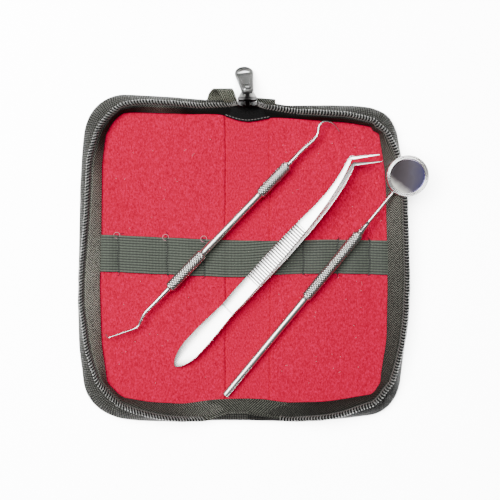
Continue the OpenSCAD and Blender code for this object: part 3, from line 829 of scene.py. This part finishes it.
def inserts(side):
    """Stiffener board and foam pad between the cover and the lining."""
    start = FOLD_X + 4
    flat = half_grid(side, start, 2, lambda x, y: 1.5, 4)
    board = cloth_piece(side + "_board_insert", flat, 1.1, M["board"])
    fastened(board, side + "_panel", "board", side + "_board")
    crown = lambda x, y: 2.58 + 0.12 * ripple(x, y, 14, 1.3)
    foam = cloth_piece(side + "_foam_pad", half_grid(side, start, 2, crown, 3), 0.9, M["foam"])
    fastened(foam, side + "_panel", "foam", side + "_foam")


def cover_panel(side):
    """Canvas under one half and its share of the spine."""
    height = lambda x, y: 0.74 + 0.04 * ripple(x, y, 12, 4.2) + 0.18 * bell(x - FOLD_X, 0.8)
    grid = half_grid(side, 0, 0, height, 2.2)
    panel = cloth_piece(side + "_cover_panel", grid, 0.36, M["canvas"])
    bends(panel, side, "outer_fabric", side + "_cover", "spine_cover")


def foot_stitches(side):
    """Lockstitch through the flange, seen from below."""
    threads = []
    for a in np.arange(3, RIM_L - 3, 2.8):
        pair = np.array([a, a + 1.0, a + 2.0])
        path = at_rim(side, pair, offset_line(OUTER[side], pair) + 7.2, 0.3)
        path[:, 2] = (0.2, 0.13, 0.2)
        threads.append(tube(path, 0.12, 5))
    row = piece(side + "_flange_stitches", *joined(threads), M["thread_grey"])
    bends(row, side, "thread")


def spine_core():
    """Thin foam down the spine."""
    grid = np.array([[[x, y, 1.75 + 0.05 * ripple(x, y, 9, 2)] for y in np.linspace(-86, 86, 60)]
                     for x in np.linspace(-9, 9, 8)])
    core = cloth_piece("spine_foam_strip", grid, 1.4, M["foam"])
    fastened(core, "spine", "foam", "spine_foam")


for side in SIDES:
    cover_panel(side)
    inserts(side)
    lining(side)
    outer_wall(side)
    tape_band(side)
    zip_coil(side)
    coil_shade_strip(side)
    seam_cord(side)
    base_piping(side)
    foot_stitches(side)
spine_core()

# ---------------------------------------------------------------- elastic


def elastic_rise(side, x):
    """Height of the band over the table: flat on the lining at each row of stitches, slack between."""
    marks = [-TACKS[side][0], *TACKS[side], EDGE - 10]
    base = SPINE_Z + (FLOOR_Z - SPINE_Z) * float(smoothstep((x - FOLD_X) / 3)) + 0.5
    for a, b in zip(marks, marks[1:]):
        if a <= x <= b:
            slack = 0.95 if a > 0 else 0.25
            return base + slack * math.sin(math.pi * (x - a) / (b - a)) ** 2
    return base


def elastic_band(side):
    reach = ELASTIC_REACH[side]
    xs = np.linspace(0, reach, 130)
    share = np.linspace(-0.5, 0.5, 92)
    grid = np.zeros((len(xs), len(share), 3))
    for i, x in enumerate(xs):
        w = elastic_width(SIDES[side] * x)
        middle = elastic_middle(SIDES[side] * x)
        pinch = sum(bell(x - t, 1.3) for t in TACKS[side])
        for j, a in enumerate(w * share):
            rib = 0.16 * abs(math.sin(math.pi * a / RIB_PITCH))
            edge_curl = 0.12 * bell(abs(a) - w / 2, 0.8)
            wobble = 0.25 * ripple(x * SIDES[side], 0, 13, 5 if a > 0 else 9) * abs(a) / (w / 2)
            z = elastic_rise(side, x) + rib - edge_curl - 0.28 * pinch + 0.07 * ripple(x, a, 6, 1.9)
            y = middle + a * (1 - 0.012 * pinch) + wobble
            grid[i, j] = (SIDES[side] * x, y, z)
    band = cloth_piece(side + "_elastic_band", grid, 0.55, M["elastic"])
    bends(band, side, "elastic", side + "_elastic", "spine_elastic")


def curl(start, heading, length, bend, lift=0.4, steps=12):
    """A loose thread end lying on the cloth, turning as it goes."""
    p, points = np.array(start, float), []
    for k in range(steps + 1):
        points.append(p.copy())
        heading += bend / steps
        p = p + length / steps * np.array([math.cos(heading), math.sin(heading), 0])
        p[2] = start[2] + lift * math.sin(math.pi * k / steps)
    return points


def bar_tacks(side):
    """Zigzag rows that sew the band down, with the thread ends that were left on."""
    rows = []
    loose = {"pink": [], "dark": []}
    for x in TACKS[side]:
        w = elastic_width(SIDES[side] * x)
        points = []
        count = int(w / TACK_PITCH)
        for k in range(count + 1):
            a = -w / 2 - 0.3 + (w + 0.6) * k / count
            at = SIDES[side] * (x + (TACK_PITCH if k % 2 else -TACK_PITCH) + rng.uniform(-0.1, 0.1))
            points.append((at, elastic_middle(at) + a, elastic_rise(side, x) + 0.28))
        rows.append(tube(points, 0.26, 5))
        for n in range(3):
            end = 1 if n < 2 else -1
            start = (SIDES[side] * x + rng.uniform(-0.6, 0.6),
                     elastic_middle(SIDES[side] * x) + end * (w / 2 + 0.2), FLOOR_Z + 0.2)
            heading = end * math.pi / 2 + rng.uniform(-1.2, 1.2)
            if n == 0 and side == "left":
                ring = curl((start[0] + 1.2, start[1] - 0.6, start[2] + 0.5), 1.1, 8.6, 5.2, 0.4, 20)
                loose["pink"].append(tube(ring, 0.15, 5))
            else:
                hair = curl(start, heading, rng.uniform(1.5, 3.5), rng.uniform(-2, 2))
                loose["dark"].append(tube(hair, 0.13, 5))
    tacks = piece(side + "_zigzag_tacks", *joined(rows), M["thread_dark"])
    fastened(tacks, side + "_panel", "thread", side + "_bar_tacks")
    for kind, threads in loose.items():
        if threads:
            ends = piece(f"{side}_thread_ends_{kind}", *joined(threads), M["thread_" + kind])
            fastened(ends, side + "_panel", "thread")


for side in SIDES:
    elastic_band(side)
    bar_tacks(side)

# ---------------------------------------------------------------- ends of the zip, slider, loop


def top_patch(side):
    """Patch under the slider, sewn along its bowed edge, coloured black as painted shade under the slider."""
    s = np.linspace(0, PATCH_S, 25)
    inner = offset_line(TAPE[side], s)
    start = offset_line(COIL[side], s) - 0.5
    columns = []
    fall = 3.2 * smoothstep((s - 8) / 4)
    for t in np.linspace(0, 1, 16):
        crown = 0.5 * math.sin(math.pi * t)
        columns.append((start + (inner + 0.5 - start) * t, 12.6 - 5.65 * t + crown - fall))
    patch = cloth_piece(side + "_slider_patch", rim_grid(side, s, columns), 0.45, M["patch"])
    bends(patch, side, "zip_tape", "top_zip_patch")
    stitches = []
    for a in np.arange(0.3, PATCH_S, 1.75):
        run = np.linspace(a, a + 1.2, 4)
        path = at_rim(side, run, offset_line(TAPE[side], run) - 0.35, 7.3)
        path[:, 2] += (0.2, 0.36, 0.36, 0.2)
        stitches.append(tube(path, 0.17, 5))
    row = piece(side + "_patch_stitches", *joined(stitches), M["thread_grey"])
    bends(row, side, "thread")


def bottom_patch(side):
    """Short tape that carries the rim's band over the spine at the bottom, in a low bow."""
    s = np.linspace(RIM_L - BAND_S, RIM_L, 40)
    coil, inner = offset_line(COIL[side], s), offset_line(TAPE[side], s)
    swell = smoothstep((s - RIM_L + BAND_S) / 16)
    columns = [(coil + 0.7, 7.6), (coil + 0.1, 8.2), (coil - 0.15, 9.4)]
    for t in np.linspace(0, 1, 18):
        offset = coil + 0.1 + (inner + 0.05 - coil) * t
        crown = swell * 1.9 * math.sin(math.pi * t) ** 0.7
        columns.append((offset, 10.3 - 4.6 * t + crown))
    band = cloth_piece(side + "_bottom_band", rim_grid(side, s, columns), 0.5, M["tape_low"])
    bends(band, side, "zip_tape", "bottom_zip_patch")


def grip_loop():
    """Webbing turned back on itself, its ends under the wall."""
    turn = np.linspace(-140, 150, 54)
    middle_y, middle_z, deep, high = 88.8, 4.7, 4.1, 4.0
    grid = np.zeros((len(turn), 14, 3))
    for i, degrees in enumerate(turn):
        a = math.radians(degrees)
        left = np.interp(degrees, (-140, -60, 0, 150), (-23.6, -21.8, -19, -12.4))
        right = np.interp(degrees, (-140, 0, 150), (-13.4, -9, -5.2))
        y, z = middle_y + deep * math.cos(a), middle_z + high * math.sin(a)
        for j, t in enumerate(np.linspace(0, 1, 14)):
            x = left + (right - left) * t
            dip = 0.25 * math.sin(math.pi * t) * math.sin(a)
            grid[i, j] = (x, y, z + dip + 0.12 * ripple(x, y + z, 4, 3))
    loop = cloth_piece("webbing_loop", grid, 0.85, M["webbing"])
    fastened(loop, "spine", "webbing", "grip_loop")


def tape_tail():
    """Folded end of the tape on the right of the slider."""
    turn = np.radians(np.linspace(-200, 20, 14))
    grid = np.array([[(x, 86.3 + 1.9 * math.cos(a) - 0.08 * (x - 5), 3.5 - 2.2 * math.sin(a)) for a in turn]
                     for x in np.linspace(5.2, 15.4, 20)])
    tail = cloth_piece("folded_tape_tail", grid, 0.5, M["tape_low"])
    fastened(tail, "spine", "zip_tape", "zip_tape_tail")


def zip_ends():
    """The closed chain of the zip below the slider: both coils meshed, down to the bottom stop."""
    chain = []
    turns = 4.2
    t = np.linspace(0, 1, 200)
    for sign in (-1, 1):
        turn = 2 * math.pi * turns * t + (0 if sign > 0 else math.pi)
        x = sign * (0.75 + 0.8 * np.cos(turn))
        chain.append(tube(np.stack([x, 88.4 + 4.6 * t, 6.8 - 2.9 * t + 0.8 * np.sin(turn)], axis=1), 0.33, 6))
    meshed = piece("closed_chain", *joined(chain), M["coil"])
    fastened(meshed, "spine", "zip_coil", "spine_zip_ends")


def carried(node, material, width):
    """A CAD piece whose shape is right, with softened edges and its real material."""
    obj = frame["nodes"][node]
    obj.data.materials.clear()
    obj.data.materials.append(M[material])
    bevelled(obj, width)


def flat_plate(loops, low, high):
    """(points, faces) of a plate cut to its first loop, with the others as openings."""
    flat = [[Vector((x, y, 0)) for x, y in loop] for loop in loops]
    count = sum(len(loop) for loop in loops)
    verts = [(x, y, z) for z in (low, high) for loop in loops for x, y in loop]
    faces = []
    for a, b, c in tessellate_polygon(flat):
        faces.append([a, b, c])
        faces.append([count + c, count + b, count + a])
    start = 0
    for loop in loops:
        n = len(loop)
        for k in range(n):
            here, ahead = start + k, start + (k + 1) % n
            faces.append([here, ahead, count + ahead, count + here])
        start += n
    return verts, faces


def tab():
    """The pull tab: a plate that widens to a round end, with two openings and beads round its edges."""
    move = Matrix.Translation(TAB_HINGE) @ turning(-TAB_LEAN, "X") @ turning(TAB_SWING, "Z")
    end_r, length = 5.2, 18.6
    arc = [(end_r * math.cos(a), length - end_r + end_r * math.sin(a))
           for a in np.radians(np.linspace(-5, 185, 30))]
    outline = [(-3.5, 1.5), (-3.3, -0.4), (-2.5, -1.6), (2.5, -1.6), (3.3, -0.4), (3.5, 1.5), (4.3, 7.5),
               *arc, (-4.3, 7.5)]
    window = [(3.6 * math.cos(a), length - 5.0 + 2.7 * max(0, math.sin(a)) ** 0.8)
              for a in np.radians(np.linspace(0, 180, 24))]
    gate = [(-1.75, -0.75), (1.75, -0.75), (1.9, 1.2), (1.2, 2.4), (-1.2, 2.4), (-1.9, 1.2)]
    plate = placed("pull_tab_plate", move, flat_plate([outline, window, gate], -0.5, 0.5), "gunmetal")
    bevelled(plate, 0.2)
    fastened(plate, "pull_tab", "zip_metal", "pull_tab")
    beads = []
    for loop, pull, r in ((outline, 0.9, 0.36), (window, 1.12, 0.26), (gate, 1.25, 0.22)):
        middle = np.mean(loop, axis=0)
        line = [(*(middle + (np.array(p) - middle) * pull), 0.5) for p in [*loop, loop[0]]]
        beads.append(tube(moved(move, by_length(line, 0.4)), r, 8))
    panel = [(1.7, 4.6), (3.4, length - 6.6), (-3.4, length - 6.6), (-1.7, 4.6), (1.7, 4.6)]
    beads.append(tube(moved(move, by_length([(x, y, 0.5) for x, y in panel], 0.4)), 0.2, 8))
    rim = piece("pull_tab_beads", *joined(beads), M["gunmetal"])
    fastened(rim, "pull_tab", "zip_metal")


for side in SIDES:
    top_patch(side)
    bottom_patch(side)
grip_loop()
tape_tail()
zip_ends()
tab()
carried("slider_body", "slider", 0.22)
for node in ("slider_bail", "zip_bottom_stop", "left_zip_end_stop", "right_zip_end_stop"):
    carried(node, "gunmetal", 0.22)

# ---------------------------------------------------------------- instruments


def lying(point, heading, pitch, roll):
    """The place of an instrument whose own length is along X."""
    return Matrix.Translation(point) @ turning(heading, "Z") @ turning(-pitch, "Y") @ turning(roll, "X")


PROBE = lying((-43.1, -17.3, 9.1), 46.1, 0, 16)
TWEEZERS = lying((-39.9, -60.3, 5.8), 47.3, 4, -18)
MIRROR = lying((-12.4, -76.3, 5.8), 50.6, 2.2, 0)
PROBE_GRIP_R = 2.95
MIRROR_GRIP_R = 2.85
HEAD_TILT = 9.8             # degrees


def ring_at(x, radius, around):
    """A ring about the X axis. radius is a number or one for each angle."""
    return np.stack([np.full(len(around), x), radius * np.cos(around), radius * np.sin(around)], axis=1)


def turned(profile, sides=40):
    """A turned piece along +X from (length, radius) points."""
    return loft([ring_at(x, r, all_round(sides)) for x, r in profile])


def triangle_wave(t):
    return 1 - np.abs(2 * (t - np.floor(t)) - 1)


def knurled(x0, x1, radius, starts=12, depth=0.36):
    """A grip with a real diamond knurl and a plain chamfer at each end."""
    around = all_round(starts * 6)
    pitch = 2 * math.pi * radius / starts
    rings = []
    for x in [x0, x0 + 0.25, *np.arange(x0 + 0.5, x1 - 0.4, pitch / 6), x1 - 0.25, x1]:
        a = x / pitch + starts * around / (2 * math.pi)
        b = x / pitch - starts * around / (2 * math.pi)
        fade = float(smoothstep(min(x - x0 - 0.3, x1 - 0.3 - x) / 0.7))
        cut = depth * fade * (1 - np.minimum(triangle_wave(a), triangle_wave(b)) * 2.0).clip(0, 1)
        end = 0.45 * (1 - min(1, min(x - x0, x1 - x) / 0.5))
        rings.append(ring_at(x, radius - cut - end, around))
    return loft(rings)


def cut_depth(verts, height, spans, surface, depth):
    """For each point, how deep from 0 to 1 it lies in the cuts that the spans along X hold; the metal's
    painted shade follows it.
    """
    x = np.asarray(verts)[:, 0]
    inside = sum(((x > a) & (x < b)) * 1.0 for a, b in spans)
    share = np.clip((surface - height) / depth, 0, 1) * inside
    return np.stack([share, 0 * share, 0 * share], axis=1)


def grip_cuts(verts, spans, grip_r):
    """How deep each point of a knurled handle lies in the cuts."""
    radius = np.linalg.norm(np.asarray(verts)[:, 1:], axis=1)
    return cut_depth(verts, radius, spans, grip_r - 0.03, 0.3)


def probe():
    grip_a, middle, grip_b = 27, 44.4, 23
    far, length = grip_a + middle, grip_a + middle + grip_b
    parts = [knurled(0.7, grip_a - 0.4, PROBE_GRIP_R), knurled(far + 0.4, length - 0.7, PROBE_GRIP_R)]
    for x, sign in ((0, 1), (length, -1)):
        collar = [(0, 1.6), (0.15, 1.95), (0.7, 2.35), (1.1, 2.4)]
        parts.append(turned([(x + sign * along, r) for along, r in collar]))
    parts.append(turned([(grip_a - 0.7, 2.4), (grip_a - 0.3, 2.25), (grip_a, 2.02), (grip_a + 2, 1.98),
                         (length / 2, 1.94), (far - 2, 1.98), (far, 2.02), (far + 0.3, 2.25),
                         (far + 0.7, 2.4)]))
    shape = joined(parts)
    cuts = grip_cuts(shape[0], [(1.2, grip_a - 1), (far + 1, length - 1.2)], PROBE_GRIP_R)
    handle = placed("probe_knurled_handle", PROBE, shape, "satin", cuts)
    fastened(handle, "probe", "satin_steel", "probe_handle")
    hook = [(0, 0), (10, 0), (19.4, -0.7), (23.5, 0.2), (26.6, 2.4), (29.6, 2.6), (32, 0.6), (33.3, -3),
            (32.8, -8)]
    angled = [(0, 0), (10, 0), (18.1, 0.1), (22.5, -0.9), (27.3, -2.2), (34.5, 1.3), (40.2, 4.4), (41.9, 5.4),
              (41.2, 7.9)]
    thick, thin = 1.45, 0.2
    for name, path, x, sign in (("probe_hook_tip", hook, length, 1), ("probe_angled_tip", angled, 0, -1)):
        line = curve_through([(p[0], p[1], 0) for p in path], 90)
        line = [(x + sign * p[0], p[1], p[2]) for p in line]
        radius = thick + (thin - thick) * np.linspace(0, 1, 91) ** 0.7
        tip = placed(name + "_wire", PROBE, tube(line, radius, 20), "bright")
        fastened(tip, "probe", "satin_steel", name)


LEAF_L, LEAF_NOSE, LEAF_W, WAIST_W = 43.3, 16, 5.65, 4.3
ARM_W = [(43.4, 4.3), (52, 4.6), (84, 4.5), (104.7, 3.6), (116, 2.7), (126.5, 2.0), (136, 1.6), (147.6, 1.15),
         (159.4, 0.3)]
RIDGE_FROM, RIDGE_PITCH, RIDGE_COUNT, RIDGE_H = 64, 1.6, 25, 0.3
SEAM_W = 0.45               # half the groove between a leaf and its arm
ARM_TOP, GROOVE_TOP = 1.15, 0.62    # thickness of an arm, and of the groove
BEND = np.array([147.6, 5.3])
TIP = np.array([159.4, -5.3])
OPENING = 3.0               # degrees that each arm stands open


def leaf_half_width(x):
    if x < LEAF_NOSE:
        return LEAF_W * math.sin(math.pi / 2 * (x / LEAF_NOSE) ** 0.62)
    t = (x - LEAF_NOSE) / (LEAF_L - LEAF_NOSE)
    return WAIST_W + (LEAF_W - WAIST_W) * math.cos(math.pi / 2 * t) ** 1.2


def arm_line(x):
    """Flat middle line of an arm: straight, then curving aside towards the bend."""
    return 0 if x < 108 else 5.3 * ((x - 108) / 39.6) ** 2.6


def plank_ring(centre, direction, half_w, low, high, soft):
    """Section of a flat bar with soft edges; centre and direction are in its plane."""
    soft = min(soft, half_w * 0.9, (high - low) * 0.48)
    side = np.array([-direction[1], direction[0]])
    ring = []
    for cx, cz, start in ((1, 1, 0), (-1, 1, 90), (-1, -1, 180), (1, -1, 270)):
        for a in np.radians(np.arange(start, start + 91, 30)):
            across = cx * (half_w - soft) + soft * math.cos(a)
            up = (high - soft if cz > 0 else low + soft) + soft * math.sin(a)
            ring.append((*(centre + side * across), up))
    return ring


def top_cuts(verts, spans, surface):
    """How deep each point of a flat bar's outer face lies in its grooves."""
    height = np.asarray(verts)[:, 2]
    return cut_depth(verts, np.where(height > 0.3, height, 9.0), spans, surface, 0.28)


def leaf():
    body = LEAF_L - SEAM_W
    rings = []
    for x in [*(body * np.linspace(0.02, 1, 60) ** 1.6), body + 0.05, LEAF_L]:
        top = 0.99 if x <= body else GROOVE_TOP
        rings.append(plank_ring(np.array([x, 0]), (1, 0), max(0.3, leaf_half_width(x)), 0.01, top, 0.28))
    verts, faces = loft(rings)
    return verts, faces, top_cuts(verts, [(body, LEAF_L + 1)], 0.98)


def arm():
    """One arm, its bent tip and the ridges across its outer face."""
    body = LEAF_L + SEAM_W
    ridges_end = RIDGE_FROM + RIDGE_COUNT * RIDGE_PITCH
    straight = [LEAF_L + 0.05, body, *np.arange(body + 0.05, RIDGE_FROM, 2.0)]
    ridged = list(np.arange(RIDGE_FROM, ridges_end, RIDGE_PITCH / 8))
    curved = list(np.linspace(ridges_end + 0.2, BEND[0], 40))
    line = [(x, arm_line(x)) for x in straight + ridged + curved]
    line.append(BEND + (1.0, 0.05))
    line += [BEND + (TIP - BEND) * t + (0.6 * (1 - t), 0) for t in np.linspace(0.14, 1, 14)]
    line = np.array(line)
    ahead = np.gradient(line, axis=0)
    ahead /= np.linalg.norm(ahead, axis=1, keepdims=True)
    widths = np.interp(line[:, 0], *zip(*ARM_W))
    rings = []
    for k, (x, y) in enumerate(line):
        top = ARM_TOP if x > body else GROOVE_TOP
        if x > 130:
            top = ARM_TOP - 0.3 * (x - 130) / 30
        phase = (x - RIDGE_FROM) / RIDGE_PITCH
        if 0 <= phase < RIDGE_COUNT:
            top = ARM_TOP - RIDGE_H * max(0, 1 - abs(math.sin(math.pi * phase)) / 0.55)
        rings.append(plank_ring(np.array([x, y]), ahead[k], widths[k], 0.03, top, 0.3))
    verts, faces = loft(rings)
    hinge = Matrix.Translation((LEAF_L, 0, 0))
    opened = hinge @ turning(-OPENING, "Y") @ hinge.inverted()
    cuts = top_cuts(verts, [(RIDGE_FROM, ridges_end), (0, body + 0.02)], 1.12)
    return moved(opened, verts), faces, cuts


def tweezers():
    flip = Matrix.Scale(-1, 4, (0, 0, 1))
    for level, matrix in (("upper", TWEEZERS), ("lower", TWEEZERS @ flip)):
        for made, kind, part, body in ((leaf(), "leaf", "plate", "tweezers"),
                                       (arm(), "arm", "blade", "tweezers_" + level)):
            *shape, cuts = made
            bar = placed(f"tweezers_{level}_{kind}_{part}", matrix, shape, "bright", cuts)
            fastened(bar, body, "bright_steel", f"tweezers_{level}_{kind}")


def mouth_mirror():
    tail, grip = 69.3, 46.9
    length = tail + grip
    shape = joined([
        turned([(0, 1.5), (0.12, 1.75), (0.4, 1.95), (1, 1.95), (tail - 1, 1.95), (tail, 1.95),
                (tail + 0.4, 2.3), (tail + 0.9, 2.35)]),
        knurled(tail + 0.7, length - 0.9, MIRROR_GRIP_R),
        turned([(length - 1.1, 2.35), (length - 0.6, 2.3), (length - 0.1, 1.9), (length, 1.75)])])
    cuts = grip_cuts(shape[0], [(tail + 1, length - 1.2)], MIRROR_GRIP_R)
    handle = placed("mirror_knurled_handle", MIRROR, shape, "satin", cuts)
    fastened(handle, "mirror", "satin_steel", "mirror_handle")
    cone = length + 0.05
    crank = cone + 7 + 23.75
    tilt = math.radians(HEAD_TILT)
    wire = [(cone + 6, 0, 0), (cone + 8, 0, 0), (crank - 2, 0, 0), (crank - 0.8, 0, 0.02), (crank, 0, 0.12)]
    wire += [(crank + run * math.cos(tilt), 0, run * math.sin(tilt)) for run in (1.2, 4.9)]
    ferrule = [(0, 1.5), (0.15, 1.85), (0.6, 1.95), (1.2, 1.8), (1.5, 1.7), (5, 1.3), (7, 1.12), (7.3, 0.9)]
    shape = joined([turned([(cone + x, r) for x, r in ferrule]), tube(curve_through(wire, 60), 0.88, 18)])
    stem = placed("mirror_stem_wire", MIRROR, shape, "bright")
    fastened(stem, "mirror", "satin_steel", "mirror_stem")
    head = MIRROR @ Matrix.Translation((155.8, 0, 2.5)) @ turning(-HEAD_TILT, "Y") @ turning(-90, "Y")
    cup_line = [(0, 0.05), (0, 8.3), (0.12, 9.2), (0.35, 10.1), (0.75, 10.7), (1.3, 11.05), (2, 11.2),
                (2.6, 11.2), (3.0, 11.0), (3.22, 10.7), (3.28, 10.4), (3.1, 10.15), (2.9, 10.05), (2.95, 9.9),
                (3.05, 9.65), (2.95, 9.35), (2.7, 9.15), (2.45, 9.08), (2.2, 9.1), (1.12, 9.3), (1.1, 0.05)]
    cup = placed("mirror_cup_rim", head, turned(cup_line, 96), "bright")
    fastened(cup, "mirror", "bright_steel", "mirror_cup")
    face_line = [(1.12, 0.05), (1.12, 9.25), (2.05, 9.25), (2.18, 9.1), (2.2, 9.02), (2.205, 8.8), (2.24, 7),
                 (2.25, 4), (2.26, 0.05)]
    face = placed("mirror_face_disc", head, turned(face_line, 96), "glass")
    fastened(face, "mirror", "mirror_glass", "mirror_glass")


probe()
tweezers()
mouth_mirror()

# ---------------------------------------------------------------- lint


def lint(side):
    """Pale fibres and specks caught in the lining's nap."""
    bits = []
    height = lining_height(side)
    for _ in range(LINT_COUNT):
        x, y = rng.uniform(17, 74), rng.uniform(-72, 72)
        if abs(y - 1) < 12:
            continue
        z = height(x, y) + 0.32
        size = rng.uniform(0.3, 0.6) if rng.random() < 0.85 else rng.uniform(1.0, 2.4)
        path = curl((SIDES[side] * x, y, z), rng.uniform(0, 6.3), size, rng.uniform(-2, 2), 0.1, 6)
        bits.append(tube(path, 0.05 if size > 1 else 0.11, 5))
    fibres = piece(side + "_lint", *joined(bits), M["lint"])
    fastened(fibres, side + "_panel", "lining")


for side in SIDES:
    lint(side)

# ---------------------------------------------------------------- floor, light, camera


def studio():
    s = Shader("floor_paper", Roughness=0.9)
    tone = s.noise(s.node("TexCoord").outputs["Object"], 3.0, 2)
    s.finish(s.ramp(tone, [(0.3, (0.86, 0.86, 0.86)), (0.7, (0.88, 0.88, 0.88))]))
    size = 6.0
    mesh = bpy.data.meshes.new("floor")
    corners = [(-size, -size, 0), (size, -size, 0), (size, size, 0), (-size, size, 0)]
    mesh.from_pydata(corners, [], [(0, 1, 2, 3)])
    mesh.materials.append(s.mat)
    floor = bpy.data.objects.new("floor", mesh)
    bpy.context.scene.collection.objects.link(floor)
    floor.visible_diffuse = False
    return floor


def area_light(name, at, size, power):
    data = bpy.data.lights.new(name, "AREA")
    data.shape = "RECTANGLE"
    data.size, data.size_y = size
    data.energy = power
    lamp = bpy.data.objects.new(name, data)
    lamp.location = at
    lamp.rotation_mode = "QUATERNION"
    lamp.rotation_quaternion = (-Vector(at)).to_track_quat("-Z", "Y")
    bpy.context.scene.collection.objects.link(lamp)
    return lamp


def world():
    made = bpy.data.worlds.new("soft_studio")
    bpy.context.scene.world = made
    made.use_nodes = True
    tree = made.node_tree
    at = tree.nodes.new("ShaderNodeTexCoord")
    parts = tree.nodes.new("ShaderNodeSeparateXYZ")
    ramp = tree.nodes.new("ShaderNodeValToRGB")
    points = ramp.color_ramp.elements
    points[0].color = (0.75, 0.75, 0.76, 1)
    points[1].color = (1.05, 1.05, 1.04, 1)
    points.new(0.35).color = (0.12, 0.12, 0.13, 1)
    points.new(0.72).color = (0.35, 0.35, 0.36, 1)
    tree.links.new(at.outputs["Generated"], parts.inputs[0])
    tree.links.new(parts.outputs[2], ramp.inputs[0])
    background = tree.nodes["Background"]
    tree.links.new(ramp.outputs[0], background.inputs[0])
    background.inputs[1].default_value = 0.3


def camera():
    data = bpy.data.cameras.new("camera")
    data.sensor_width = 36
    data.lens = 51.43
    data.clip_start = 0.01
    cam = bpy.data.objects.new("camera", data)
    cam.location = (0.0014, 0.0039, 0.400)
    bpy.context.scene.collection.objects.link(cam)
    bpy.context.scene.camera = cam


floor = studio()
world()
area_light("key_upper_left", (-0.46, 0.18, 0.92), (0.56, 0.56), 14)
area_light("overhead_soft", (0.08, 0.26, 1.1), (0.4, 0.4), 6)
# The paper under the object has its own lamp, so that it stays white while the object's shade falls on it
paper_lamp = area_light("paper_wash", (-0.3, 0.25, 1.2), (1.5, 1.5), 330)
papers = bpy.data.collections.new("papers")
papers.objects.link(floor)
paper_lamp.light_linking.receiver_collection = papers
camera()
